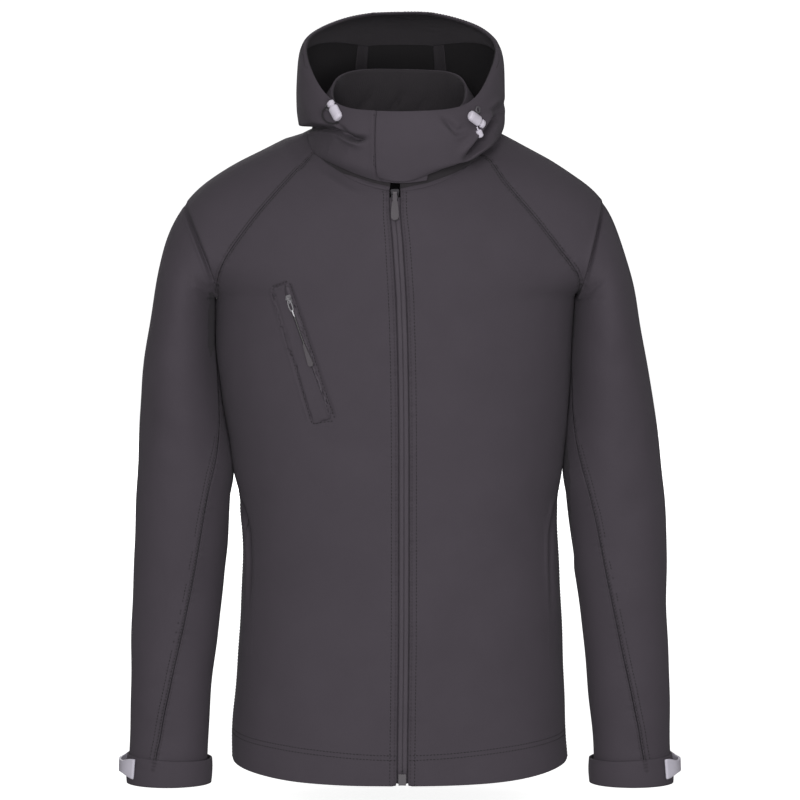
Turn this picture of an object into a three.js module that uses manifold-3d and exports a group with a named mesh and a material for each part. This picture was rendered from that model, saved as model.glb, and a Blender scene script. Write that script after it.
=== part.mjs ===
// Hooded softshell jacket, hollow as it is worn. Millimetres, +Z up, the front faces -Y.
// The origin is the middle of the neck opening at the base of the neck.
// Right and left are the wearer's: right is side -1 and lies at -X.

import * as THREE from 'three';
import { mergeVertices } from 'three/addons/utils/BufferGeometryUtils.js';
import Module from 'manifold-3d';

// Driving dimensions
const wall = 1.8;             // bonded softshell cloth
const facingWall = 0.9;       // lighter inner cloth
const seamGap = 0.3;
const layerGap = 0.6;         // air between layers that lie on each other
const armpitZ = -163;
const hemZ = -692;
const hemRise = 11;           // side seams sit higher than the centre of the hem
const bodyCurve = 2.35;       // exponent of the torso's oval, 2 would be an ellipse
const openingHalf = 6;        // half the gap between the front edges
const sleeveEndZ = -688;
const cuffTopZ = -674;
const cuffEndZ = -707;
const hoodAxis = { x: 1, y: -12 };
const hoodSeamTurn = 160;     // where the centre panel of the hood begins, in degrees from the front

const sides = [
  { name: 'right', sign: -1 },
  { name: 'left', sign: 1 },
];

// Torso below the arms: half widths on each side, depths and the wander of the centre line
const torsoRows = [
  { z: -692, right: 188, left: 188.5, front: 137, back: 131, middle: 2.4 },
  { z: -644, right: 187.5, left: 185.5, front: 136.5, back: 130, middle: 2.8 },
  { z: -582, right: 182.6, left: 182.7, front: 134.5, back: 124, middle: 3.6 },
  { z: -521, right: 178.7, left: 180.8, front: 132, back: 118, middle: 4.2 },
  { z: -448, right: 176, left: 176, front: 130.5, back: 113, middle: 4.3 },
  { z: -399, right: 177, left: 176, front: 131, back: 113, middle: 4.3 },
  { z: -356, right: 181, left: 178.6, front: 132.5, back: 116, middle: 4.3 },
  { z: -313, right: 190.8, left: 184.5, front: 134.5, back: 120.5, middle: 4.3 },
  { z: -257, right: 200.5, left: 188.3, front: 136.5, back: 126, middle: 3.8 },
  { z: -189, right: 206, left: 190.5, front: 136, back: 129.5, middle: 2.4 },
  { z: -163, right: 204, left: 193, front: 134, back: 129.5, middle: 1.4 },
];

// Chest and shoulders: a row for each step up the raglan seams, from underarm to neckline.
// frontZ, frontDepth and middle are at the centre front; backZ and backDepth at the centre back.
// seamF and seamB are the front and back raglan seams, top is the outline of the shoulder.
const raglanRows = [
  { frontZ: -163, frontDepth: 134, middle: 1.4, backZ: -163, backDepth: 129.5,
    seamFRight: 204, seamFLeft: 193, seamFY: 0, seamFZ: -163,
    seamBRight: 204, seamBLeft: 193, seamBY: 0, seamBZ: -163,
    topRight: 275, topLeft: 263.5, topZ: -163, topY: 0, reach: 178, curve: 2.35, fold: 0 },
  { frontZ: -151, frontDepth: 133.5, middle: 0.8, backZ: -145, backDepth: 129.5,
    seamFRight: 203.5, seamFLeft: 196, seamFY: -38, seamFZ: -157,
    seamBRight: 203.5, seamBLeft: 195, seamBY: 36, seamBZ: -157,
    topRight: 271, topLeft: 257.5, topZ: -139, topY: 0, reach: 151, curve: 2.34, fold: 1.5 },
  { frontZ: -139, frontDepth: 132.5, middle: 0.1, backZ: -126, backDepth: 128.5,
    seamFRight: 201.5, seamFLeft: 199, seamFY: -62, seamFZ: -146,
    seamBRight: 201, seamBLeft: 196.5, seamBY: 60, seamBZ: -146,
    topRight: 265, topLeft: 250.5, topZ: -111, topY: 1, reach: 126, curve: 2.32, fold: 4.5 },
  { frontZ: -127, frontDepth: 131, middle: -0.7, backZ: -107, backDepth: 126.5,
    seamFRight: 197.5, seamFLeft: 193.5, seamFY: -77, seamFZ: -130,
    seamBRight: 195, seamBLeft: 190, seamBY: 78, seamBZ: -129,
    topRight: 256.5, topLeft: 243, topZ: -88.5, topY: 3, reach: 102, curve: 2.3, fold: 3 },
  { frontZ: -115, frontDepth: 129, middle: -1.5, backZ: -87, backDepth: 123.5,
    seamFRight: 187, seamFLeft: 177, seamFY: -83, seamFZ: -110,
    seamBRight: 183, seamBLeft: 174, seamBY: 89, seamBZ: -108,
    topRight: 245, topLeft: 233, topZ: -66, topY: 5, reach: 86, curve: 2.27, fold: 0.5 },
  { frontZ: -103, frontDepth: 126.5, middle: -2.2, backZ: -67, backDepth: 120,
    seamFRight: 173, seamFLeft: 161, seamFY: -84, seamFZ: -90,
    seamBRight: 168, seamBLeft: 159, seamBY: 94, seamBZ: -86,
    topRight: 227, topLeft: 216, topZ: -44, topY: 6, reach: 74, curve: 2.23, fold: 0 },
  { frontZ: -91, frontDepth: 123.5, middle: -3.1, backZ: -47, backDepth: 115.5,
    seamFRight: 158.5, seamFLeft: 146.5, seamFY: -82, seamFZ: -71,
    seamBRight: 151, seamBLeft: 142, seamBY: 95, seamBZ: -62,
    topRight: 205, topLeft: 195, topZ: -29, topY: 7, reach: 64, curve: 2.18, fold: 0 },
  { frontZ: -79, frontDepth: 120, middle: -4.3, backZ: -27, backDepth: 109.5,
    seamFRight: 142, seamFLeft: 130, seamFY: -76, seamFZ: -52,
    seamBRight: 134, seamBLeft: 127, seamBY: 91, seamBZ: -37,
    topRight: 180, topLeft: 171, topZ: -14.5, topY: 8, reach: 57, curve: 2.12, fold: 0 },
  { frontZ: -67, frontDepth: 115.5, middle: -5.4, backZ: -7, backDepth: 101.5,
    seamFRight: 126, seamFLeft: 113.5, seamFY: -68, seamFZ: -34,
    seamBRight: 117, seamBLeft: 112, seamBY: 83, seamBZ: -12,
    topRight: 154, topLeft: 147, topZ: -2, topY: 8, reach: 52, curve: 2.06, fold: 0 },
  { frontZ: -55, frontDepth: 110, middle: -5.6, backZ: 13, backDepth: 91,
    seamFRight: 110.5, seamFLeft: 103, seamFY: -57, seamFZ: -17,
    seamBRight: 101, seamBLeft: 98, seamBY: 67, seamBZ: 10,
    topRight: 128, topLeft: 122, topZ: 10.5, topY: 8, reach: 50, curve: 2.01, fold: 0 },
  { frontZ: -43, frontDepth: 104, middle: -5.6, backZ: 32, backDepth: 78,
    seamFRight: 98, seamFLeft: 95, seamFY: -44, seamFZ: -3,
    seamBRight: 86, seamBLeft: 85, seamBY: 48, seamBZ: 26,
    topRight: 104.5, topLeft: 103, topZ: 19, topY: 7, reach: 50, curve: 1.97, fold: 0 },
];

// Sleeves below the arms: inner and outer edge on each side, half depth, centre in Y,
// and the angles from the outer edge to the two seams of the under panel
const sleeveRows = [
  { z: -163, innerRight: 205.4, outerRight: 275, innerLeft: 194.4, outerLeft: 263.5,
    depth: 75, y: 0, seamF: 178, seamB: 178 },
  { z: -189, innerRight: 207.6, outerRight: 279.5, innerLeft: 192.4, outerLeft: 268.5,
    depth: 74.5, y: 0, seamF: 176, seamB: 173 },
  { z: -230, innerRight: 205.4, outerRight: 285, innerLeft: 191.6, outerLeft: 275.5,
    depth: 73, y: 1, seamF: 171, seamB: 163 },
  { z: -270, innerRight: 200.6, outerRight: 290, innerLeft: 189.8, outerLeft: 281.8,
    depth: 70, y: 2, seamF: 163, seamB: 151 },
  { z: -313, innerRight: 193, outerRight: 292.7, innerLeft: 186.6, outerLeft: 288.4,
    depth: 66, y: 2, seamF: 149, seamB: 137 },
  { z: -356, innerRight: 187, outerRight: 294.5, innerLeft: 181.6, outerLeft: 294,
    depth: 61.5, y: 1, seamF: 129, seamB: 124 },
  { z: -399, innerRight: 187.6, outerRight: 296, innerLeft: 185.8, outerLeft: 297,
    depth: 58, y: -1, seamF: 119, seamB: 114 },
  { z: -448, innerRight: 191.2, outerRight: 297.4, innerLeft: 190.4, outerLeft: 298.7,
    depth: 55, y: -4, seamF: 113, seamB: 107 },
  { z: -521, innerRight: 198, outerRight: 299.6, innerLeft: 199.6, outerLeft: 299.6,
    depth: 50.5, y: -8, seamF: 102.5, seamB: 99 },
  { z: -582, innerRight: 206, outerRight: 301.2, innerLeft: 206, outerLeft: 300.8,
    depth: 47, y: -12, seamF: 92, seamB: 93 },
  { z: -644, innerRight: 211.2, outerRight: 302.6, innerLeft: 211, outerLeft: 302.2,
    depth: 43.5, y: -15, seamF: 79, seamB: 88 },
  { z: -710, innerRight: 213, outerRight: 303.8, innerLeft: 213, outerLeft: 303.6,
    depth: 40.5, y: -18, seamF: 66, seamB: 84 },
];

// Hood, by the angle from the front: radius and height of each station from the rim round the
// roll and the hanging pouch to just above its lower edge
const hoodRows = [
  { turn: 0, rimR: 96, rimZ: 43, lipR: 98.5, lipZ: 36, rollR: 100, rollZ: 22, bellyR: 100.5, bellyZ: 6,
    lowR: 99.5, lowZ: -6, tuckR: 98, tuckZ: -16, napeR: 96.5, napeZ: -25, edge: -8, edgeLeft: -8 },
  { turn: 45, rimR: 97, rimZ: 50, lipR: 102, lipZ: 44, rollR: 106.5, rollZ: 31, bellyR: 109, bellyZ: 17,
    lowR: 109.5, lowZ: 6, tuckR: 109, tuckZ: -4, napeR: 107.5, napeZ: -12, edge: -7, edgeLeft: -17 },
  { turn: 70, rimR: 99.5, rimZ: 77, lipR: 105, lipZ: 71, rollR: 109, rollZ: 57, bellyR: 111.5, bellyZ: 40,
    lowR: 112, lowZ: 28, tuckR: 111.5, tuckZ: 18, napeR: 111, napeZ: 10, edge: 1, edgeLeft: -4 },
  { turn: 92, rimR: 106.5, rimZ: 107, lipR: 111, lipZ: 102, rollR: 114, rollZ: 88, bellyR: 115.5, bellyZ: 66,
    lowR: 116, lowZ: 46, tuckR: 116.5, tuckZ: 34, napeR: 116.5, napeZ: 26, edge: 8, edgeLeft: 8 },
  { turn: 120, rimR: 111, rimZ: 130, lipR: 118, lipZ: 129, rollR: 126, rollZ: 114, bellyR: 130, bellyZ: 84,
    lowR: 131, lowZ: 52, tuckR: 128, tuckZ: 32, napeR: 121, napeZ: 25, edge: 8, edgeLeft: 8 },
  { turn: 145, rimR: 105, rimZ: 146, lipR: 123, lipZ: 146, rollR: 150, rollZ: 124, bellyR: 166, bellyZ: 80,
    lowR: 164, lowZ: 24, tuckR: 150, tuckZ: -4, napeR: 132, napeZ: 8, edge: 7, edgeLeft: 7 },
  { turn: 162, rimR: 99.5, rimZ: 151, lipR: 126, lipZ: 151, rollR: 170, rollZ: 126, bellyR: 194, bellyZ: 66,
    lowR: 193, lowZ: -10, tuckR: 168, tuckZ: -58, napeR: 135, napeZ: -28, edge: 5, edgeLeft: 5 },
  { turn: 180, rimR: 97, rimZ: 152, lipR: 127, lipZ: 152, rollR: 176, rollZ: 127, bellyR: 203, bellyZ: 60,
    lowR: 203, lowZ: -22, tuckR: 176, tuckZ: -76, napeR: 137, napeZ: -42, edge: 4, edgeLeft: 4 },
];

const finish = (color, roughness, metalness = 0) =>
  new THREE.MeshStandardMaterial({ color, roughness, metalness });
const softshell = finish(0x474148, 0.85);
const fleece = finish(0x29262a, 0.95);
const tapeCloth = finish(0x3a363b, 0.8);
const rubberGrey = finish(0xa6a3ae, 0.6);
const lockPlastic = finish(0xafacb6, 0.5);
const cordBlack = finish(0x1c1b1e, 0.9);
const pullRubber = finish(0x5a545b, 0.6);
const darkMetal = finish(0x4c494e, 0.4, 0.9);

const vec = (x, y, z) => new THREE.Vector3(x, y, z);
const radians = THREE.MathUtils.degToRad;
const lerp = THREE.MathUtils.lerp;
const range = (count) => Array.from({ length: count + 1 }, (_, i) => i / count);

// Reads every column of a table at a value of its first column, on a smooth curve
function readTable(rows, key, at) {
  let i = rows.findIndex((row, k) => k < rows.length - 1
    && (at - row[key]) * (at - rows[k + 1][key]) <= 0);
  if (i < 0) i = Math.abs(at - rows[0][key]) < Math.abs(at - rows.at(-1)[key]) ? 0 : rows.length - 2;
  const [a, b, c, d] = [rows[Math.max(i - 1, 0)], rows[i], rows[i + 1], rows[Math.min(i + 2, rows.length - 1)]];
  const span = c[key] - b[key];
  const t = THREE.MathUtils.clamp((at - b[key]) / span, 0, 1);
  const read = {};
  for (const column of Object.keys(b)) {
    const slopeB = (c[column] - a[column]) / (c[key] - a[key]) * span;
    const slopeC = (d[column] - b[column]) / (d[key] - b[key]) * span;
    read[column] = (2 * t ** 3 - 3 * t ** 2 + 1) * b[column] + (t ** 3 - 2 * t ** 2 + t) * slopeB
      + (3 * t ** 2 - 2 * t ** 3) * c[column] + (t ** 3 - t ** 2) * slopeC;
  }
  return read;
}

// Cloth as a grid of outer points, with a normal at each that points away from its hub
function clothGrid(points, hub) {
  const rows = points.length;
  const cols = points[0].length;
  const normals = points.map((row, i) => row.map((point, j) => {
    const along = points[Math.min(i + 1, rows - 1)][j].clone().sub(points[Math.max(i - 1, 0)][j]);
    const across = row[Math.min(j + 1, cols - 1)].clone().sub(row[Math.max(j - 1, 0)]);
    return along.cross(across).normalize();
  }));
  let facing = 0;
  points.forEach((row, i) => row.forEach((point, j) => {
    facing += normals[i][j].dot(point.clone().sub(hub(point)));
  }));
  if (facing < 0) normals.flat().forEach((normal) => normal.negate());
  return { points, normals, own: normals.map((row) => row.map((normal) => normal.clone())) };
}

// Two pieces that meet on a seam share the mean normal along it, where they don't meet in a fold
function matchSeam(gridA, placesA, gridB, placesB) {
  placesA.forEach(([i, j], k) => {
    const [m, n] = placesB[k];
    const a = gridA.normals[i][j];
    const b = gridB.normals[m][n];
    if (a.dot(b) < 0.2) return;
    const mean = a.clone().add(b).normalize();
    gridA.normals[i][j] = mean;
    gridB.normals[m][n] = mean.clone();
  });
}

// Draws the named borders in by half a seam gap, along the cloth
function insetBorders(grid, borders, amount = seamGap / 2) {
  const { points } = grid;
  const last = points.length - 1;
  const end = points[0].length - 1;
  const moves = [];
  const draw = (i, j, inI, inJ, besideI, besideJ) => {
    const tangent = points[besideI[0]][besideI[1]].clone().sub(points[besideJ[0]][besideJ[1]]).normalize();
    const inward = points[inI][inJ].clone().sub(points[i][j]);
    inward.addScaledVector(tangent, -inward.dot(tangent)).normalize();
    moves.push([i, j, inward.multiplyScalar(amount)]);
  };
  for (let i = 0; i <= last; i += 1) {
    const up = Math.min(i + 1, last);
    const down = Math.max(i - 1, 0);
    if (borders.includes('firstCol')) draw(i, 0, i, 1, [up, 0], [down, 0]);
    if (borders.includes('lastCol')) draw(i, end, i, end - 1, [up, end], [down, end]);
  }
  for (let j = 0; j <= end; j += 1) {
    const up = Math.min(j + 1, end);
    const down = Math.max(j - 1, 0);
    if (borders.includes('firstRow')) draw(0, j, 1, j, [0, up], [0, down]);
    if (borders.includes('lastRow')) draw(last, j, last - 1, j, [last, up], [last, down]);
  }
  moves.forEach(([i, j, move]) => points[i][j].add(move));
  return grid;
}

function closedMesh(name, positions, faces, material) {
  const volume = faces.reduce((sum, [a, b, c]) => {
    const [p, q, r] = [a, b, c].map((k) => positions[k]);
    return sum + p.dot(q.clone().cross(r));
  }, 0);
  const index = faces.flatMap(([a, b, c]) => (volume > 0 ? [a, b, c] : [a, c, b]));
  const geometry = new THREE.BufferGeometry();
  geometry.setAttribute('position', new THREE.Float32BufferAttribute(positions.flatMap((p) => p.toArray()), 3));
  geometry.setIndex(index);
  geometry.computeVertexNormals();
  const mesh = new THREE.Mesh(geometry, material);
  mesh.name = name;
  return mesh;
}

// A closed wall: the outer grid, the same grid pushed in by the thickness, and the rims between
function clothMesh(name, grid, thickness, material, ring = false) {
  const { points, normals, own } = grid;
  const rows = points.length;
  const cols = points[0].length;
  const inner = points.map((row, i) => row.map((point, j) => {
    const lean = Math.max(normals[i][j].dot(own[i][j]), 0.7);
    return point.clone().addScaledVector(normals[i][j], -thickness / lean);
  }));
  const positions = [...points.flat(), ...inner.flat()];
  const at = (layer, i, j) => layer * rows * cols + i * cols + (j % cols);
  const faces = [];
  const quad = (a, b, c, d) => faces.push([a, b, c], [a, c, d]);
  const lastCol = ring ? cols : cols - 1;
  for (let i = 0; i < rows - 1; i += 1) {
    for (let j = 0; j < lastCol; j += 1) {
      quad(at(0, i, j), at(0, i, j + 1), at(0, i + 1, j + 1), at(0, i + 1, j));
      quad(at(1, i, j), at(1, i + 1, j), at(1, i + 1, j + 1), at(1, i, j + 1));
    }
    if (!ring) {
      quad(at(0, i, 0), at(0, i + 1, 0), at(1, i + 1, 0), at(1, i, 0));
      quad(at(0, i + 1, lastCol), at(0, i, lastCol), at(1, i, lastCol), at(1, i + 1, lastCol));
    }
  }
  for (let j = 0; j < lastCol; j += 1) {
    quad(at(0, 0, j + 1), at(0, 0, j), at(1, 0, j), at(1, 0, j + 1));
    quad(at(0, rows - 1, j), at(0, rows - 1, j + 1), at(1, rows - 1, j + 1), at(1, rows - 1, j));
  }
  return closedMesh(name, positions, faces, material);
}

// Body panels
const oval = (share, curve) => Math.max(share, 0) ** (2 / curve);
const unOval = (share, curve) => Math.min(share ** (curve / 2), 1);

// Half a body row: from x at the centre to the side, a quarter oval that ends at the seam point
function halfRow({ startX, centreZ, depth, seam, columns, facing, curve }) {
  const endTurn = Math.acos(unOval(Math.abs(seam.y) / depth, curve));
  const width = Math.abs(seam.x) / oval(Math.sin(endTurn), curve);
  const startTurn = Math.asin(unOval(Math.abs(startX) / width, curve));
  return range(columns).map((t) => {
    const turn = lerp(startTurn, endTurn, t);
    const x = width * oval(Math.sin(turn), curve);
    const y = facing * depth * oval(Math.cos(turn), curve);
    return vec(Math.sign(seam.x) * x, y, lerp(centreZ, seam.z, (x / Math.abs(seam.x)) ** 2));
  });
}

const lowRows = 12;
const hemLift = (z, share) => hemRise * share ** 4 * Math.max(1 - (z - hemZ) / 160, 0) ** 2;
const torsoLevels = range(lowRows).map((t) => lerp(hemZ, armpitZ, t)).slice(0, -1);

function lowRow(z, side, facing, columns) {
  const row = readTable(torsoRows, 'z', z);
  const seam = vec(side.sign * row[side.name], 0, z);
  const startX = facing < 0 ? openingHalf + side.sign * row.middle : 0;
  const depth = facing < 0 ? row.front : row.back;
  const points = halfRow({ startX, centreZ: z, depth, seam, columns, facing, curve: bodyCurve });
  points.forEach((point) => { point.z += hemLift(z, Math.abs(point.x / seam.x)); });
  return points;
}

const upperName = (side) => side.name[0].toUpperCase() + side.name.slice(1);
const seamFront = (row, side) => vec(side.sign * row[`seamF${upperName(side)}`], row.seamFY, row.seamFZ);
const seamBack = (row, side) => vec(side.sign * row[`seamB${upperName(side)}`], row.seamBY, row.seamBZ);

function frontRow(row, side, columns) {
  const startX = openingHalf + side.sign * row.middle;
  const seam = seamFront(row, side);
  const { frontZ: centreZ, frontDepth: depth, curve } = row;
  return halfRow({ startX, centreZ, depth, seam, columns, facing: -1, curve });
}

function backRow(row, side, columns) {
  const seam = seamBack(row, side);
  const { backZ: centreZ, backDepth: depth, curve } = row;
  return halfRow({ startX: 0, centreZ, depth, seam, columns, facing: 1, curve });
}

const frontColumns = 9;
const backColumns = 8;
const torsoHub = (point) => vec(0, 0, point.z);

function frontGrid(side) {
  const low = torsoLevels.map((z) => lowRow(z, side, -1, frontColumns));
  const high = raglanRows.map((row) => frontRow(row, side, frontColumns));
  return clothGrid([...low, ...high], torsoHub);
}

function backGrid() {
  const join = (rightHalf, leftHalf) => [...rightHalf.reverse(), ...leftHalf.slice(1)];
  const low = torsoLevels.map((z) => join(...sides.map((side) => lowRow(z, side, 1, backColumns))));
  const high = raglanRows.map((row) => join(...sides.map((side) => backRow(row, side, backColumns))));
  return clothGrid([...low, ...high], torsoHub);
}

// Sleeves: a section is centre + cos(turn) out + sin(turn) back, and turn 0 is the outer edge
const sleeveColumns = 13;
const underColumns = 5;

function armSection(z, side) {
  const row = readTable(sleeveRows, 'z', z);
  const inner = row[`inner${upperName(side)}`];
  const outer = row[`outer${upperName(side)}`];
  const centre = vec(side.sign * (inner + outer) / 2, row.y, z);
  const out = vec(side.sign * (outer - inner) / 2, 0, 0);
  return { centre, out, back: vec(0, row.depth, 0), seamF: radians(row.seamF), seamB: radians(row.seamB) };
}

function armPoint({ centre, out, back }, turn, proud = 0) {
  const point = centre.clone().addScaledVector(out, Math.cos(turn)).addScaledVector(back, Math.sin(turn));
  const away = point.clone().sub(centre).normalize();
  return point.addScaledVector(away, proud);
}

function shoulderSection(row, side) {
  const front = seamFront(row, side);
  const rear = seamBack(row, side);
  const top = vec(side.sign * row[`top${upperName(side)}`], row.topY, row.topZ);
  const reach = radians(row.reach);
  const middle = front.clone().add(rear).multiplyScalar(0.5);
  const out = top.clone().sub(middle).divideScalar(1 - Math.cos(reach));
  const back = rear.sub(front).divideScalar(2 * Math.sin(reach));
  return { centre: top.sub(out), out, back, reach, fold: row.fold };
}

function shoulderRow(section) {
  return range(sleeveColumns).map((t) => {
    const turn = lerp(-section.reach, section.reach, t);
    const share = Math.abs(turn) / section.reach;
    return armPoint(section, turn, -section.fold * Math.sin(Math.PI * share) ** 2);
  });
}

const armLevels = range(13).map((t) => lerp(sleeveEndZ, armpitZ, t));

function sleeveGrids(side) {
  const arms = armLevels.map((z) => armSection(z, side));
  const upperLow = arms.map((arm) => range(sleeveColumns)
    .map((t) => armPoint(arm, lerp(-arm.seamF, arm.seamB, t))));
  const under = arms.map((arm) => range(underColumns)
    .map((t) => armPoint(arm, lerp(arm.seamB, 2 * Math.PI - arm.seamF, t))));
  const shoulders = raglanRows.slice(1).map((row) => shoulderRow(shoulderSection(row, side)));
  const low = armLevels.length;
  const hub = (point) => {
    if (point.z <= armpitZ + 0.01) return armSection(point.z, side).centre;
    return vec(side.sign * 110, 4, -160);
  };
  return { upper: clothGrid([...upperLow, ...shoulders], hub), under: clothGrid(under, hub), low };
}

// The seams are matched first, and the borders are drawn in after that
const grids = { back: backGrid() };
for (const side of sides) {
  const { upper, under, low } = sleeveGrids(side);
  grids[side.name] = { front: frontGrid(side), upper, under, low };
}
const bodyRows = grids.back.points.length;
const backEdge = (side) => (side.sign < 0 ? 0 : 2 * backColumns);
for (const side of sides) {
  const { front, upper, under, low } = grids[side.name];
  const sideRows = range(lowRows).map((_, i) => i);
  matchSeam(front, sideRows.map((i) => [i, frontColumns]), grids.back, sideRows.map((i) => [i, backEdge(side)]));
  const steps = raglanRows.slice(1).map((_, k) => k + 1);
  matchSeam(front, steps.map((k) => [lowRows + k, frontColumns]), upper, steps.map((k) => [low - 1 + k, 0]));
  matchSeam(grids.back, steps.map((k) => [lowRows + k, backEdge(side)]),
    upper, steps.map((k) => [low - 1 + k, sleeveColumns]));
  const armRows = armLevels.map((_, i) => i);
  matchSeam(upper, armRows.map((i) => [i, sleeveColumns]), under, armRows.map((i) => [i, 0]));
  matchSeam(upper, armRows.map((i) => [i, 0]), under, armRows.map((i) => [i, underColumns]));
}
insetBorders(grids.back, ['firstCol', 'lastCol']);
for (const side of sides) {
  insetBorders(grids[side.name].front, ['lastCol']);
  insetBorders(grids[side.name].upper, ['firstCol', 'lastCol'], seamGap);
  insetBorders(grids[side.name].under, ['firstCol', 'lastCol']);
}

const jacket = new THREE.Group();
const bodyGroup = new THREE.Group();
bodyGroup.add(clothMesh('back', grids.back, wall, softshell));
for (const side of sides) {
  const { front, upper, under } = grids[side.name];
  bodyGroup.add(clothMesh(`front_${side.name}`, front, wall, softshell));
  bodyGroup.add(clothMesh(`sleeve_upper_${side.name}`, upper, wall, softshell));
  bodyGroup.add(clothMesh(`sleeve_under_${side.name}`, under, wall, softshell));
}
jacket.add(bodyGroup);

// Cuffs: a band round the end of each sleeve, and a moulded tab that stands off its outer edge
const cuffProud = layerGap + wall;
const tab = { firstTurn: -26, lastTurn: 100, midZ: -690.5, half: 10.8, endHalf: 9, stand: 8, thick: 2.4 };

function cuffGrid(side) {
  const columns = 22;
  const rows = range(3).map((t) => range(columns).slice(0, -1).map((share) => {
    const turn = share * 2 * Math.PI;
    const slope = 2.6 * (1 - Math.cos(turn)) * (1 - t);
    const z = lerp(cuffTopZ - slope, cuffEndZ, t);
    const swell = 0.9 * Math.sin(Math.PI * t);
    return armPoint(armSection(z, side), turn, cuffProud + swell);
  }));
  const grid = clothGrid(rows.map((row) => [...row, row[0].clone()]), (p) => armSection(p.z, side).centre);
  for (const key of ['points', 'normals', 'own']) {
    grid[key].forEach((row) => {
      const seam = row.pop();
      if (key !== 'points') row[0].add(seam).normalize();
    });
  }
  return grid;
}

function tabGrid(side) {
  const rows = range(3).map((v) => range(12).map((t) => {
    const turn = radians(lerp(tab.firstTurn, tab.lastTurn, t));
    const half = lerp(tab.endHalf, tab.half, Math.sin(Math.PI * t));
    const z = tab.midZ + lerp(-half, half, v);
    const stand = cuffProud + 0.9 + layerGap + tab.thick + tab.stand * Math.sin(Math.PI * t);
    return armPoint(armSection(z, side), turn, stand);
  }));
  return clothGrid(rows, (p) => armSection(p.z, side).centre);
}

for (const side of sides) {
  const cuffs = new THREE.Group();
  cuffs.add(clothMesh(`cuff_${side.name}`, cuffGrid(side), wall, softshell, true));
  cuffs.add(clothMesh(`cuff_tab_${side.name}`, tabGrid(side), tab.thick, rubberGrey));
  jacket.add(cuffs);
}

// The neckline as it is sewn, and the row of body points just below it, by the angle from the front
function neckLoop(side) {
  const { front, upper } = grids[side.name];
  const backPoints = (offset) => {
    const row = grids.back.points[bodyRows - 1 - offset];
    return side.sign < 0 ? row.slice(0, backColumns + 1) : row.slice(backColumns).reverse();
  };
  const rowOf = (offset) => [
    ...front.points.at(-1 - offset).slice(0, -1),
    ...upper.points.at(-1 - offset).slice(1, -1),
    ...backPoints(offset).slice(1),
  ];
  const below = rowOf(1);
  return rowOf(0).map((point, k) => ({
    point,
    below: below[k],
    turn: Math.atan2(side.sign * (point.x - hoodAxis.x), -(point.y - hoodAxis.y)),
  }));
}

const neck = Object.fromEntries(sides.map((side) => [side.name, neckLoop(side)]));

function neckAt(turn, side) {
  const loop = neck[side.name];
  let k = loop.findIndex((entry) => entry.turn > turn) - 1;
  if (k === -1) k = 0;
  if (k < 0) k = loop.length - 2;
  const [a, b] = [loop[k], loop[k + 1]];
  const t = (turn - a.turn) / (b.turn - a.turn);
  return { point: a.point.clone().lerp(b.point, t), below: a.below.clone().lerp(b.below, t) };
}

// Stand collar inside the hood, from its right front edge round the back to its left
const collarRows = range(4);
const collarTurns = range(14).map((t) => lerp(0, Math.PI, t));
const collarInset = 1.1;

function collarPoint(base, rise) {
  const share = (base.y + 104) / 182;
  const top = lerp(36, 88, THREE.MathUtils.smoothstep(share, 0, 1));
  const topX = base.x * 0.735;
  const topY = lerp(-94, 66, share);
  const bow = 2.5 * Math.sin(Math.PI * rise);
  const away = vec(base.x, base.y + 12, 0).normalize();
  return vec(lerp(base.x, topX, rise), lerp(base.y, topY, rise), lerp(base.z + 0.6, top, rise))
    .addScaledVector(away, bow - collarInset);
}

function collarGrid(inward) {
  const edge = sides.map((side) => neck[side.name][0].point);
  const loop = [];
  sides.forEach((side, s) => {
    const half = collarTurns.slice(1, -1).map((turn) => neckAt(turn, side).point);
    const bases = [edge[s], ...half];
    if (s === 0) loop.push(...bases, neckAt(Math.PI - 0.001, side).point);
    else loop.push(...bases.reverse());
  });
  const points = collarRows.map((rise) => loop.map((base) => collarPoint(base, rise)));
  const grid = clothGrid(points, (p) => vec(0, -12, p.z));
  points.forEach((row, i) => row.forEach((point, j) => point.addScaledVector(grid.normals[i][j], -inward)));
  return grid;
}

const collar = new THREE.Group();
collar.add(clothMesh('collar', collarGrid(0), wall, softshell));
collar.add(clothMesh('collar_lining', collarGrid(wall + seamGap), facingWall, fleece));
jacket.add(collar);

// Hood: side panels that cross at the front, and a centre panel
const overFlapEnd = { turn: -15, lift: wall + layerGap + 0.9 };
const underFlapEnd = { turn: -18, dip: 4 };
const hoodFold = { drop: 5, from: 22, to: 100 };
const stations = ['rim', 'lip', 'roll', 'belly', 'low', 'tuck', 'nape'];

function hoodEdge(turn, side, lift, edge) {
  const spread = Math.max(Math.abs(turn), radians(7));
  const { point, below } = neckAt(spread, side);
  const away = vec(point.x - hoodAxis.x, point.y - hoodAxis.y, 0).normalize();
  const slope = below.clone().sub(point);
  const up = vec(-slope.y, slope.x, 0).cross(slope).normalize();
  if (up.z < 0) up.negate();
  const raised = point.clone().addScaledVector(away, 0.9 + 1.8 * lift).add(vec(0, 0, Math.max(-edge, 0)));
  const laid = point.clone().addScaledVector(slope.clone().normalize(), Math.max(edge, 0))
    .addScaledVector(up, layerGap + wall + 0.8 + lift);
  const found = raised.lerp(laid, THREE.MathUtils.clamp(edge / 6, 0, 1));
  const radius = Math.hypot(found.x - hoodAxis.x, found.y - hoodAxis.y);
  return vec(hoodAxis.x + side.sign * Math.sin(turn) * radius, hoodAxis.y - Math.cos(turn) * radius, found.z);
}

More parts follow.
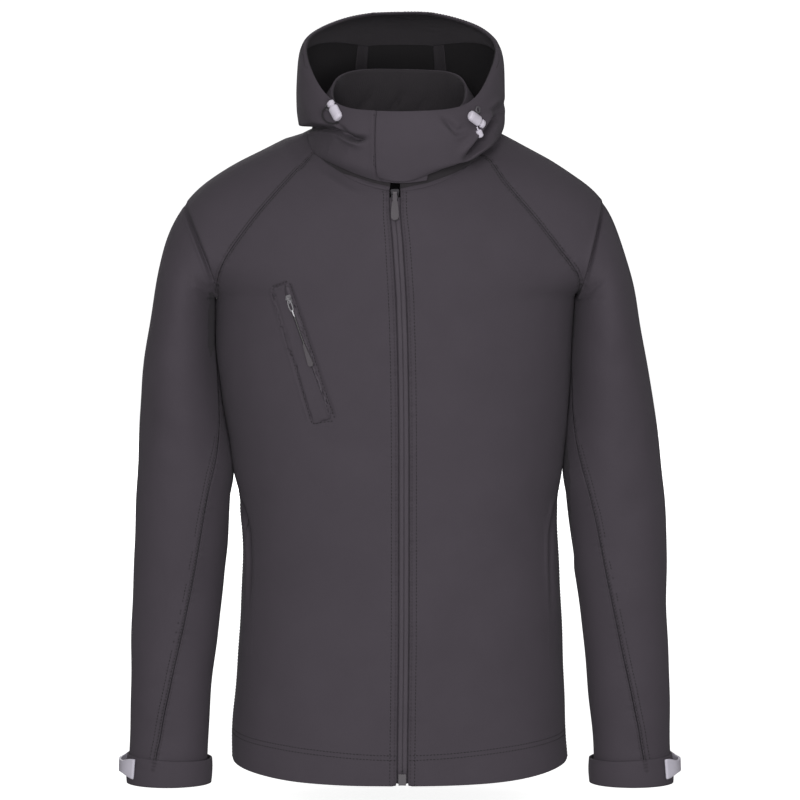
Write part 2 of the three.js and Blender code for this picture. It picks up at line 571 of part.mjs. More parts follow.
function hoodProfile(turn, side) {
  const degrees = Math.abs(THREE.MathUtils.radToDeg(turn));
  const row = readTable(hoodRows, 'turn', degrees);
  const k = lerp(1, 0.3, THREE.MathUtils.smoothstep(degrees, 110, 180));
  const left = side.sign > 0;
  const lift = left ? overFlapEnd.lift * (1 - THREE.MathUtils.smoothstep(turn, radians(45), radians(80))) : 0;
  const folded = !left && degrees > hoodFold.from && degrees < hoodFold.to;
  const fold = folded ? hoodFold.drop * Math.sin(Math.PI * (degrees - hoodFold.from)
    / (hoodFold.to - hoodFold.from)) : 0;
  const dip = left ? 0 : underFlapEnd.dip * THREE.MathUtils.smoothstep(-turn, 0, radians(15));
  const neckR = 92;
  const points = stations.map((station) => {
    const drawn = ['low', 'tuck', 'nape'].includes(station) ? fold : 0;
    const r = row[`${station}R`] + lift - drawn - dip;
    const x = side.sign * Math.sin(turn) * (neckR + (r - neckR) * k);
    return vec(hoodAxis.x + x, hoodAxis.y - Math.cos(turn) * r, row[`${station}Z`]);
  });
  const edgePoint = hoodEdge(turn, side, lift, left ? row.edgeLeft : row.edge);
  return new THREE.CatmullRomCurve3([...points, edgePoint], false, 'centripetal');
}

const hoodSteps = range(13);
const hoodHub = (p) => vec(hoodAxis.x, Math.max(hoodAxis.y, Math.min(p.y - 60, 90)), 60);

function hoodGrid(turns, sideOf) {
  const columns = turns.map((turn) => {
    const curve = hoodProfile(turn, sideOf(turn));
    return hoodSteps.map((t) => curve.getPointAt(t));
  });
  const points = hoodSteps.map((_, i) => columns.map((column) => column[i]));
  return clothGrid(points, hoodHub);
}

const hoodSeam = radians(hoodSeamTurn);
const sideTurns = (end) => range(15).map((t) => lerp(radians(end.turn), hoodSeam, t));
const hoodRight = hoodGrid(sideTurns(underFlapEnd), () => sides[0]);
const hoodLeft = hoodGrid(sideTurns(overFlapEnd), () => sides[1]);
const centreColumns = range(6);
const hoodCentre = (() => {
  const columns = centreColumns.map((t) => {
    const turn = lerp(-(Math.PI - hoodSeam), Math.PI - hoodSeam, t);
    const side = turn < 0 ? sides[0] : sides[1];
    const curve = hoodProfile(Math.PI - Math.abs(turn), side);
    return hoodSteps.map((s) => curve.getPointAt(s));
  });
  return clothGrid(hoodSteps.map((_, i) => columns.map((column) => column[i])), hoodHub);
})();
const hoodPlaces = (column) => hoodSteps.map((_, i) => [i, column]);
matchSeam(hoodRight, hoodPlaces(15), hoodCentre, hoodPlaces(0));
matchSeam(hoodLeft, hoodPlaces(15), hoodCentre, hoodPlaces(6));
insetBorders(hoodRight, ['lastCol']);
insetBorders(hoodLeft, ['lastCol']);
insetBorders(hoodCentre, ['firstCol', 'lastCol'], 2 * seamGap);

const hood = new THREE.Group();
hood.add(clothMesh('hood_right', hoodRight, wall, softshell));
hood.add(clothMesh('hood_left', hoodLeft, wall, softshell));
hood.add(clothMesh('hood_centre', hoodCentre, wall, softshell));
jacket.add(hood);

// The facing inside the rim and the tapes over the hood's two seams lie on the cloth's inner face
const facing = { steps: 3, clear: 0.5 };
const hoodTape = { half: 0.32, from: 3, to: 9, thick: 0.6 };

function innerGrid(points, clear) {
  const grid = clothGrid(points, hoodHub);
  grid.points.forEach((row, i) => row.forEach((point, j) => point.addScaledVector(grid.normals[i][j], -clear)));
  return grid;
}

const rightHalf = hoodRight.points.map((row) => row.slice(4, 15));
const leftHalf = hoodLeft.points.map((row) => row.slice(4, 15).reverse());
const bandRows = range(facing.steps).map((_, i) => [
  ...rightHalf[i], ...hoodCentre.points[i], ...leftHalf[i],
]);
hood.add(clothMesh('hood_facing', innerGrid(bandRows, wall + facing.clear), facingWall, fleece));

sides.forEach((side, s) => {
  const panel = s === 0 ? hoodRight.points : hoodLeft.points;
  const seamColumn = s === 0 ? 0 : 6;
  const beside = s === 0 ? 1 : 5;
  const strip = hoodSteps.slice(hoodTape.from, hoodTape.to).map((_, k) => {
    const i = k + hoodTape.from;
    const seam = panel[i][15].clone().lerp(hoodCentre.points[i][seamColumn], 0.5);
    return [
      seam.clone().lerp(panel[i][14], hoodTape.half),
      seam,
      seam.clone().lerp(hoodCentre.points[i][beside], hoodTape.half),
    ];
  });
  hood.add(clothMesh(`hood_tape_${side.name}`, innerGrid(strip, wall + 0.8), hoodTape.thick, tapeCloth));
});

// Any place on a front panel, found on its facets
function frontPlace(side, x, z) {
  const { points, own } = grids[side.name].front;
  for (let i = 0; i < points.length - 1; i += 1) {
    for (let j = 0; j < frontColumns; j += 1) {
      const halves = [[[i, j], [i, j + 1], [i + 1, j + 1]], [[i, j], [i + 1, j + 1], [i + 1, j]]];
      for (const half of halves) {
        const [p, q, r] = half.map(([m, n]) => points[m][n]);
        const area = (q.x - p.x) * (r.z - p.z) - (r.x - p.x) * (q.z - p.z);
        const u = ((x - p.x) * (r.z - p.z) - (r.x - p.x) * (z - p.z)) / area;
        const v = ((q.x - p.x) * (z - p.z) - (x - p.x) * (q.z - p.z)) / area;
        if (Math.min(u, v, 1 - u - v) < -1e-6) continue;
        const mix = (a, b, c) => a.clone().multiplyScalar(1 - u - v).addScaledVector(b, u).addScaledVector(c, v);
        return { point: mix(p, q, r), normal: mix(...half.map(([m, n]) => own[m][n])).normalize() };
      }
    }
  }
  throw new Error(`no cloth at ${x}, ${z}`);
}

// A strip of cloth on a front panel, made from the panel's own points moved out
function onFront(name, side, placeAt, rows, columns, thickness, material, clear = layerGap) {
  const points = range(rows).map((s) => range(columns).map((t) => {
    const [x, z] = placeAt(s, t);
    const { point, normal } = frontPlace(side, x, z);
    return point.addScaledVector(normal, clear + thickness);
  }));
  return clothMesh(name, clothGrid(points, torsoHub), thickness, material);
}

// Chest pocket: a slanted welt with its zip along the edge towards the middle
const pocket = { x: -130.9, z: -146.3, length: 153, width: 17, tilt: radians(17.8) };
const pocketEdge = [
  { down: 0, edge: 7.4 }, { down: 9, edge: 3.1 }, { down: 40, edge: 4.6 }, { down: 66, edge: 5.4 },
  { down: 153, edge: 9.6 },
];
const pocketZip = { gap: 0.6, narrow: 1.8, wide: 10.6, thick: 1 };
const along = { x: Math.sin(pocket.tilt), z: -Math.cos(pocket.tilt) };
const across = { x: Math.cos(pocket.tilt), z: Math.sin(pocket.tilt) };
const pocketPlace = (down, aside) => [
  pocket.x + along.x * down + across.x * aside,
  pocket.z + along.z * down + across.z * aside,
];
const [rightSide, leftSide] = sides;
const trim = new THREE.Group();
const weltEdge = (down) => readTable(pocketEdge, 'down', down).edge;
trim.add(onFront('chest_welt', rightSide, (s, t) => {
  const down = s ** 1.4 * pocket.length;
  return pocketPlace(down, lerp(-pocket.width * 0.57, weltEdge(down), t));
}, 11, 3, 1.5, softshell));
trim.add(onFront('chest_zip', rightSide, (s, t) => {
  const down = lerp(3, pocket.length - 4, s);
  const near = weltEdge(down) + pocketZip.gap;
  return pocketPlace(down, lerp(near, Math.max(near + pocketZip.narrow, pocketZip.wide), t));
}, 10, 1, pocketZip.thick, tapeCloth));

// Side pockets: a plain welt beside each side seam
const handPocket = { topZ: -402, length: 158, inset: 5, width: 12 };
for (const side of sides) {
  const placeAt = (s, t) => {
    const z = handPocket.topZ - s * handPocket.length;
    const edge = readTable(torsoRows, 'z', z)[side.name] - handPocket.inset;
    return [side.sign * (edge - (1 - t) * handPocket.width), z];
  };
  trim.add(onFront(`pocket_welt_${side.name}`, side, placeAt, 9, 3, 1.3, softshell, 0.6));
}
jacket.add(trim);

// Front zip: on each side a tape behind the front edge with half of the coil standing in the gap
const zip = { bottomZ: -678, reach: 14, coil: 3, coilTop: 0.7, tapeTop: 2.6, tapeThick: 0.7, parting: 0.25 };

function edgePlaces(side) {
  const { points } = grids[side.name].front;
  const places = points.map((row) => row[0].clone()).filter((point) => point.z > zip.bottomZ);
  const t = (zip.bottomZ - points[0][0].z) / (points[1][0].z - points[0][0].z);
  return [points[0][0].clone().lerp(points[1][0], t), ...places];
}

// Sections joined into one closed body; cap lists the triangles that fill a section
function loftMesh(name, rings, cap, material) {
  const count = rings[0].length;
  const last = (rings.length - 1) * count;
  const faces = cap.flatMap(([i, j, k]) => [[k, j, i], [i + last, j + last, k + last]]);
  for (let i = 0; i < last; i += count) {
    for (let k = 0; k < count; k += 1) {
      const next = (k + 1) % count;
      faces.push([i + k, i + next, i + count + next], [i + k, i + count + next, i + count + k]);
    }
  }
  return closedMesh(name, rings.flat(), faces, material);
}

function zipSide(side) {
  const { parting, coil, coilTop, reach, tapeTop, tapeThick } = zip;
  const under = tapeTop + tapeThick;
  const section = [[parting, coilTop], [coil, coilTop], [coil, tapeTop], [reach, tapeTop], [reach, under],
    [parting, under]];
  const cap = [[0, 1, 2], [0, 2, 5], [2, 3, 4], [2, 4, 5]];
  const places = edgePlaces(side);
  const rings = places.map((place, i) => {
    const before = places[Math.max(i - 1, 0)];
    const after = places[Math.min(i + 1, places.length - 1)];
    const rise = after.clone().sub(before).setX(0).normalize();
    const inward = vec(0, rise.z, -rise.y);
    const centreX = place.x - side.sign * openingHalf;
    return section.map(([x, depth]) => vec(centreX + side.sign * x, place.y, place.z)
      .addScaledVector(inward, depth));
  });
  return loftMesh(`zip_tape_${side.name}`, rings, cap, tapeCloth);
}

const zipGroup = new THREE.Group();
for (const side of sides) zipGroup.add(zipSide(side));
jacket.add(zipGroup);

// Hard pieces, joined and bored as solids
const wasm = await Module();
wasm.setup();

function toSolid(geometry) {
  const bare = geometry.clone();
  bare.deleteAttribute('normal');
  bare.deleteAttribute('uv');
  const merged = mergeVertices(bare, 1e-4);
  const index = merged.index.array;
  return new wasm.Manifold(new wasm.Mesh({
    numProp: 3,
    vertProperties: merged.attributes.position.array,
    triVerts: new Uint32Array(index),
  }));
}

function toMesh(name, solid, material) {
  const { vertProperties, triVerts } = solid.getMesh();
  const geometry = new THREE.BufferGeometry();
  geometry.setAttribute('position', new THREE.BufferAttribute(Float32Array.from(vertProperties), 3));
  geometry.setIndex(Array.from(triVerts));
  geometry.computeVertexNormals();
  const mesh = new THREE.Mesh(geometry, material);
  mesh.name = name;
  return mesh;
}

const box = (x, y, z, at) => toSolid(new THREE.BoxGeometry(x, y, z).translate(...at));
const rod = (radius, length, at, steps = 16) =>
  toSolid(new THREE.CylinderGeometry(radius, radius, length, steps).rotateZ(Math.PI / 2).translate(...at));

// A plate in X and Z from an outline, with its thickness along Y about a middle
function plate(outline, thickness, y) {
  const geometry = new THREE.ExtrudeGeometry(outline, { depth: thickness, bevelEnabled: false, curveSegments: 6 });
  return toSolid(geometry.rotateX(Math.PI / 2).translate(0, y + thickness / 2, 0));
}

// Each slider and its pull share a frame: -Z runs down the zip, -Y away from the cloth
function zipFrame(origin, down, outward) {
  const group = new THREE.Group();
  const z = down.clone().negate().normalize();
  const y = outward.clone().addScaledVector(z, -outward.dot(z)).normalize().negate();
  group.quaternion.setFromRotationMatrix(new THREE.Matrix4().makeBasis(y.clone().cross(z), y, z));
  group.position.copy(origin);
  return group;
}

function slider(name, { half, top, bottom, base, height, pinY, ear }, material) {
  const outline = new THREE.Shape();
  outline.moveTo(-half * 0.7, bottom);
  outline.lineTo(half * 0.7, bottom);
  outline.lineTo(half, top - 2);
  outline.quadraticCurveTo(half, top, half - 2, top);
  outline.lineTo(2 - half, top);
  outline.quadraticCurveTo(-half, top, -half, top - 2);
  outline.closePath();
  const body = plate(outline, height, base - height / 2);
  const ears = [-1, 1].map((sign) => box(ear.thick, base - height - pinY + ear.radius + 0.4, 2 * ear.radius,
    [sign * (ear.inside + ear.thick / 2), (base - height + pinY - ear.radius + 0.4) / 2, 0]));
  const pin = rod(ear.pin, 2 * ear.inside + ear.thick, [0, pinY, 0], 12);
  return toMesh(name, body.add(ears[0]).add(ears[1]).add(pin), material);
}

const frontSlider = {
  half: 4.7, top: 5.5, bottom: -7.5, base: 0.3, height: 2.9, pinY: -4.9,
  ear: { inside: 2.7, thick: 0.9, radius: 1.3, pin: 0.7 },
};
const frontPull = { eye: 1.6, bore: 1.1, width: 4.6, length: 33, neck: 2.5, end: 4.2, thick: 1.9 };

function pullBlade({ eye, bore, width, length, neck, end, thick }, pinY) {
  const outline = new THREE.Shape();
  outline.moveTo(-neck * 0.9, -1);
  outline.lineTo(-neck, -length * 0.3);
  outline.quadraticCurveTo(-end, -length * 0.5, -end, -length + end);
  outline.absarc(0, -length + end, end, Math.PI, 2 * Math.PI, false);
  outline.quadraticCurveTo(end, -length * 0.5, neck, -length * 0.3);
  outline.lineTo(neck * 0.9, -1);
  outline.closePath();
  const blade = plate(outline, thick, pinY);
  return blade.add(rod(eye, width, [0, pinY, 0])).subtract(rod(bore, width + 2, [0, pinY, 0]));
}

const zipHead = (() => {
  const z = -47;
  const left = frontPlace(leftSide, 12, z).point;
  const rise = left.clone().sub(frontPlace(leftSide, 12, z - 8).point).setX(0).normalize();
  const middle = readTable(raglanRows, 'frontZ', z).middle;
  return zipFrame(vec(middle, left.y - 0.2, z), rise.clone().negate(), vec(0, -rise.z, rise.y));
})();
zipHead.add(slider('zip_slider', frontSlider, darkMetal));
zipHead.add(toMesh('zip_pull', pullBlade(frontPull, frontSlider.pinY), pullRubber));
zipGroup.add(zipHead);

const stop = { width: 8.4, depth: 3.4, height: 12.4, proud: 1.2 };
const stopRow = torsoRows[0];
const stopMesh = toMesh('zip_stop', box(stop.width, stop.depth, stop.height, [0, 0, 0]), lockPlastic);
stopMesh.position.set(stopRow.middle, -stopRow.front - stop.proud + stop.depth / 2, zip.bottomZ - 0.4 - stop.height / 2);
zipGroup.add(stopMesh);

// The chest zip's slider, and its pull: a wire link, a cord and a moulded grip in one piece
const chestSlider = {
  half: 3, top: 4, bottom: -5, base: -2.1, height: 2, pinY: -6,
  ear: { inside: 1.9, thick: 0.7, radius: 1.1, pin: 0.6 },
};
const chestPull = { from: 16, to: 94, start: 6.9, end: 9.2, cord: 1, grip: 25, gripHalf: 3.2, gripThick: 3, link: 15 };

function chestPullSolid({ from, to, cord, grip, gripHalf, gripThick, link }, pinY) {
  const length = to - from;
  const eye = rod(1.4, 3.2, [0, pinY, 0], 12).subtract(rod(0.95, 5, [0, pinY, 0], 12));
  const ringOuter = new THREE.Shape().absellipse(0, -link / 2 - 0.9, 2.7, link / 2, 0, 2 * Math.PI, false, 0);
  const ringHole = new THREE.Shape().absellipse(0, -link / 2 - 0.9, 1.6, link / 2 - 1.2, 0, 2 * Math.PI, false, 0);
  const ring = plate(ringOuter, 1.3, pinY).subtract(plate(ringHole, 3, pinY));
  const strand = new THREE.CylinderGeometry(cord, cord, length - link - grip + 4, 8).rotateX(Math.PI / 2);
  const strandMid = -(link + length - grip) / 2;
  const gripShape = new THREE.Shape();
  gripShape.moveTo(-1.3, -length + grip);
  gripShape.lineTo(-gripHalf, -length + gripHalf);
  gripShape.absarc(0, -length + gripHalf, gripHalf, Math.PI, 2 * Math.PI, false);
  gripShape.lineTo(1.3, -length + grip);
  gripShape.closePath();
  return eye.add(ring).add(toSolid(strand.translate(0, pinY, strandMid))).add(plate(gripShape, gripThick, pinY));
}

const chestHead = (() => {
  const place = (down, aside) => frontPlace(rightSide, ...pocketPlace(down, aside));
  const root = place(chestPull.from, chestPull.start);
  const tip = place(chestPull.to, chestPull.end);
  return zipFrame(root.point, tip.point.clone().sub(root.point), root.normal);
})();
chestHead.add(slider('chest_slider', chestSlider, darkMetal));
chestHead.add(toMesh('chest_pull', chestPullSolid(chestPull, chestSlider.pinY), pullRubber));
trim.add(chestHead);

// Cord locks on the hood's front: a flat barrel with a sprung plunger, and an eyelet for the cord
function hoodPlace(side, x, z) {
  const offset = Math.abs(x - hoodAxis.x);
  let turn = radians(45);
  let found;
  for (let pass = 0; pass < 6; pass += 1) {
    const curve = hoodProfile(turn, side);
    const sample = range(200).map((t) => curve.getPoint(t * 0.8));
    found = sample.reduce((best, p) => (Math.abs(p.z - z) < Math.abs(best.z - z) ? p : best));
    const radius = Math.hypot(found.x - hoodAxis.x, found.y - hoodAxis.y);
    turn = Math.asin(Math.min(offset / radius, 1));
  }
  const normal = vec(found.x - hoodAxis.x, found.y - hoodAxis.y, 0).normalize().setZ(0.12).normalize();
  return { point: found, normal };
}

const lock = {
  wide: 6.1, flat: 0.7, closed: -8.5, open: 8, bore: 4.1, boreEnd: -1.6, stem: 3.6, head: 5,
  headStart: 11.4, tip: 16.6,
};
const lathe = (profile) => new THREE.LatheGeometry(profile.map(([r, y]) => new THREE.Vector2(r, y)), 20)
  .scale(1, 1, lock.flat).rotateZ(-Math.PI / 2).translate(-(lock.closed + lock.tip) / 2, 0, 0);

const barrelProfile = [
  [0, lock.closed], [3.6, lock.closed + 0.2], [5.4, lock.closed + 1.5], [lock.wide, lock.closed + 4],
  [lock.wide, lock.open - 1], [lock.wide - 0.6, lock.open], [lock.bore, lock.open], [lock.bore, lock.boreEnd],
  [0, lock.boreEnd],
];
const plungerProfile = [
  [0, lock.boreEnd + 3.6], [lock.stem, lock.boreEnd + 3.6], [lock.stem, lock.headStart],
  [lock.head - 0.3, lock.headStart], [lock.head, lock.headStart + 1], [lock.head - 0.3, lock.tip - 1.4],
  [3.2, lock.tip - 0.2], [0, lock.tip],
];

function lockGroup(side, { x, z, lean, stand }) {
  const { point, normal } = hoodPlace(side, x, z);
  const group = new THREE.Group();
  const tangent = vec(Math.cos(lean), 0, Math.sin(lean));
  tangent.addScaledVector(normal, -tangent.dot(normal)).normalize();
  const flatAxis = normal.clone().cross(tangent);
  group.quaternion.setFromRotationMatrix(new THREE.Matrix4().makeBasis(tangent, flatAxis, normal));
  group.position.copy(point).addScaledVector(normal, stand + lock.wide * lock.flat);
  const barrel = new THREE.Mesh(lathe(barrelProfile), lockPlastic);
  barrel.name = `cord_lock_${side.name}`;
  const plunger = new THREE.Mesh(lathe(plungerProfile), lockPlastic);
  plunger.name = `cord_plunger_${side.name}`;
  group.add(barrel, plunger);
  return group;
}

const eyeletStand = 1.9;
function eyelet(side, x, z) {
  const { point, normal } = hoodPlace(side, x, z);
  const profile = [[2.2, 0], [4.3, 0], [4.3, 0.5], [3.4, 1.1], [2.2, 0.8], [2.2, 0]];
  const geometry = new THREE.LatheGeometry(profile.map(([r, y]) => new THREE.Vector2(r, y)), 18);
  const mesh = new THREE.Mesh(geometry, darkMetal);
  mesh.name = `eyelet_${side.name}`;
  mesh.quaternion.setFromUnitVectors(vec(0, 1, 0), normal);
  mesh.position.copy(point).addScaledVector(normal, eyeletStand);
  return mesh;
}

const lockPlaces = {
  right: { x: -67.5, z: 43.5, lean: radians(136), stand: 1.9, eyeX: -77, eyeZ: 47.5 },
  left: { x: 80, z: 33.5, lean: radians(-17), stand: 0.9, eyeX: 83.5, eyeZ: 44.5 },
};
for (const side of sides) {
  const place = lockPlaces[side.name];
  hood.add(lockGroup(side, place));
  hood.add(eyelet(side, place.eyeX, place.eyeZ));
}

// The cord's loop hangs from the right eyelet and goes back into the lock
const cordRadius = 0.9;
const cordRoute = [
  [-78.3, -79.3, 47.9], [-80, -81, 47.6], [-82, -83.4, 46.3], [-84, -85.2, 43.6], [-84.8, -86.2, 39.6],
  [-83.6, -87, 35.2], [-79.8, -88.4, 31.6], [-76, -89.8, 30.2], [-72.6, -91, 29.8], [-69.4, -92.4, 30.4],
  [-67.2, -93.4, 31.4],
];
const cordCurve = new THREE.CatmullRomCurve3(cordRoute.map((p) => vec(...p)), false, 'centripetal');
const cordSection = new THREE.Shape(range(8).slice(0, -1)
  .map((t) => new THREE.Vector2(Math.cos(2 * Math.PI * t), Math.sin(2 * Math.PI * t)).multiplyScalar(cordRadius)));
const cordMesh = new THREE.Mesh(
  new THREE.ExtrudeGeometry(cordSection, { steps: 20, bevelEnabled: false, extrudePath: cordCurve }), cordBlack);
cordMesh.name = 'hood_cord_right';
hood.add(cordMesh);

// The cord on the left side ends in a moulded bead below its lock
const bead = { x: 84.5, z: 18.6, radius: 3.6, length: 8.5, lean: radians(38), stub: 4 };
const beadPlace = hoodPlace(leftSide, bead.x, bead.z);
const beadProfile = [
  [0, -bead.length / 2], [2.6, -bead.length / 2], [bead.radius, -bead.length / 2 + 1.5],
  [bead.radius, bead.length / 2 - 1.5], [2.4, bead.length / 2], [0.9, bead.length / 2],
  [0.9, bead.length / 2 + bead.stub], [0, bead.length / 2 + bead.stub],
];
const beadMesh = new THREE.Mesh(
  new THREE.LatheGeometry(beadProfile.map(([r, y]) => new THREE.Vector2(r, y)), 16), lockPlastic);
beadMesh.name = 'cord_end_left';
const beadUp = vec(-Math.sin(bead.lean), 0, Math.cos(bead.lean));
beadUp.addScaledVector(beadPlace.normal, -beadUp.dot(beadPlace.normal)).normalize();
beadMesh.quaternion.setFromUnitVectors(vec(0, 1, 0), beadUp);
beadMesh.position.copy(beadPlace.point).addScaledVector(beadPlace.normal, bead.radius - 0.5);
hood.add(beadMesh);

export default jacket;
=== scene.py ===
import math

import bmesh
import bpy
import numpy as np
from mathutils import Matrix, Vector, kdtree
from mathutils.bvhtree import BVHTree


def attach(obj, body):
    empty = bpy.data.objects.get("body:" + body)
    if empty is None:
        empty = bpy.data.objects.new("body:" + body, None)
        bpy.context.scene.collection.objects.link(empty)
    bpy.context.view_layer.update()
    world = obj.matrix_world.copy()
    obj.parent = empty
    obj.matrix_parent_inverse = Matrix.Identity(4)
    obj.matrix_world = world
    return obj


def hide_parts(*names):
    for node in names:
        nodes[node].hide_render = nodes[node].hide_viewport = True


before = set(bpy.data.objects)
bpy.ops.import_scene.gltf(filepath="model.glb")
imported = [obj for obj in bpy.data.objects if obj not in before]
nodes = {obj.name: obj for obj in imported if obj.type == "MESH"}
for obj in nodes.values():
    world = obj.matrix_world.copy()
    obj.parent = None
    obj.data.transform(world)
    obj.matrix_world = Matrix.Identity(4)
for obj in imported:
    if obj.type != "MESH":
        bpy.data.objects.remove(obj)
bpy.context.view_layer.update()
scene = bpy.context.scene
sides = {"right": -1, "left": 1}


def link(obj):
    scene.collection.objects.link(obj)
    return obj


def smoothStep(t):
    t = np.clip(t, 0.0, 1.0)
    return t * t * (3.0 - 2.0 * t)


# Camera: level with the hem's middle third, five metres off
shot = {"target": Vector((0, 0, -0.2797)), "distance": 5.0, "elevation": math.radians(4.7), "lens": 201.8}
camera = link(bpy.data.objects.new("camera", bpy.data.cameras.new("camera")))
camera.data.lens = shot["lens"]
camera.data.sensor_width = 36
camera.location = shot["target"] + shot["distance"] * Vector(
    (0, -math.cos(shot["elevation"]), math.sin(shot["elevation"])))
camera.rotation_euler = (math.pi / 2 - shot["elevation"], 0, 0)
scene.camera = camera

# Shared shader pieces


def newGroup(name, inputs, outputs):
    group = bpy.data.node_groups.new(name, "ShaderNodeTree")
    for label, kind, value in inputs:
        socket = group.interface.new_socket(label, in_out="INPUT", socket_type=kind)
        if value is not None:
            socket.default_value = value
    for label, kind in outputs:
        group.interface.new_socket(label, in_out="OUTPUT", socket_type=kind)
    return group, group.nodes.new("NodeGroupInput"), group.nodes.new("NodeGroupOutput")


def maths(tree, operation, first, second=None, third=None):
    # A math node; numbers are set on its sockets and sockets are linked
    node = tree.nodes.new("ShaderNodeMath")
    node.operation = operation
    for socket, value in zip(node.inputs, (first, second, third)):
        if value is None:
            continue
        if isinstance(value, (int, float)):
            socket.default_value = value
        else:
            tree.links.new(value, socket)
    return node.outputs[0]


def mixColour(tree, factor, first, second):
    node = tree.nodes.new("ShaderNodeMix")
    node.data_type = "RGBA"
    for socket, value in ((node.inputs[0], factor), (node.inputs[6], first), (node.inputs[7], second)):
        if isinstance(value, (int, float)):
            socket.default_value = value
        elif isinstance(value, tuple):
            socket.default_value = (*value, 1)
        else:
            tree.links.new(value, socket)
    return node.outputs[2]


def noise(tree, vector, scale, detail=3.0, roughness=0.5):
    node = tree.nodes.new("ShaderNodeTexNoise")
    node.inputs["Scale"].default_value = scale
    node.inputs["Detail"].default_value = detail
    node.inputs["Roughness"].default_value = roughness
    tree.links.new(vector, node.inputs["Vector"])
    return node.outputs["Fac"]


def bump(tree, height, distance, strength=1.0, normal=None):
    node = tree.nodes.new("ShaderNodeBump")
    node.inputs["Distance"].default_value = distance
    node.inputs["Strength"].default_value = strength
    tree.links.new(height, node.inputs["Height"])
    if normal is not None:
        tree.links.new(normal, node.inputs["Normal"])
    return node.outputs[0]


# Weave in metres of cloth, and the pucker and groove that sewing leaves beside a seam
def makeWeave():
    group, given, put = newGroup(
        "weave", [("Vector", "NodeSocketVector", None), ("Pitch", "NodeSocketFloat", 0.0007)],
        [("Height", "NodeSocketFloat")])
    parts = group.nodes.new("ShaderNodeSeparateXYZ")
    group.links.new(given.outputs[0], parts.inputs[0])
    turns = maths(group, "DIVIDE", 2 * math.pi, given.outputs[1])
    across = maths(group, "SINE", maths(group, "MULTIPLY", parts.outputs[0], turns))
    up = maths(group, "SINE", maths(group, "MULTIPLY", parts.outputs[1], turns))
    group.links.new(maths(group, "MULTIPLY", across, up), put.inputs[0])
    return group


# Widths in metres of the seam's groove, its pucker and the needle marks beside it, and lengths along it
sewnMarks = {
    "groove": 0.0011, "pucker": 0.0075, "rowAt": 0.0028, "row": 0.0008, "stitch": 0.0037, "wave": 0.0115,
    "slow": 0.047,
}


def bell(tree, value, width):
    # 1 at zero, falling away evenly on both sides
    share = maths(tree, "DIVIDE", value, width)
    return maths(tree, "EXPONENT", maths(tree, "MULTIPLY", maths(tree, "MULTIPLY", share, share), -1.0))


def makeSewn():
    group, given, put = newGroup(
        "sewn", [("Distance", "NodeSocketFloat", 0.0), ("Along", "NodeSocketFloat", 0.0)],
        [("Groove", "NodeSocketFloat"), ("Pucker", "NodeSocketFloat"), ("Row", "NodeSocketFloat")])
    distance, along = given.outputs[0], given.outputs[1]
    groove = bell(group, distance, sewnMarks["groove"])
    fade = bell(group, distance, sewnMarks["pucker"])
    row = bell(group, maths(group, "SUBTRACT", distance, sewnMarks["rowAt"]), sewnMarks["row"])
    beat = maths(group, "SINE", maths(group, "MULTIPLY", along, 2 * math.pi / sewnMarks["stitch"]))
    dash = maths(group, "MULTIPLY_ADD", beat, 0.35, 0.65)
    group.links.new(maths(group, "MULTIPLY", row, dash), put.inputs[2])
    wave = maths(group, "SINE", maths(group, "MULTIPLY", along, 2 * math.pi / sewnMarks["wave"]))
    slow = maths(group, "SINE", maths(group, "MULTIPLY", along, 2 * math.pi / sewnMarks["slow"]))
    uneven = maths(group, "MULTIPLY_ADD", slow, 0.5, 0.6)
    group.links.new(groove, put.inputs[0])
    group.links.new(maths(group, "MULTIPLY", maths(group, "MULTIPLY", wave, uneven), fade), put.inputs[1])
    return group


weaveGroup = makeWeave()
sewnGroup = makeSewn()


def newMaterial(name):
    material = bpy.data.materials.new(name)
    material.use_nodes = True
    tree = material.node_tree
    return material, tree, tree.nodes["Principled BSDF"]


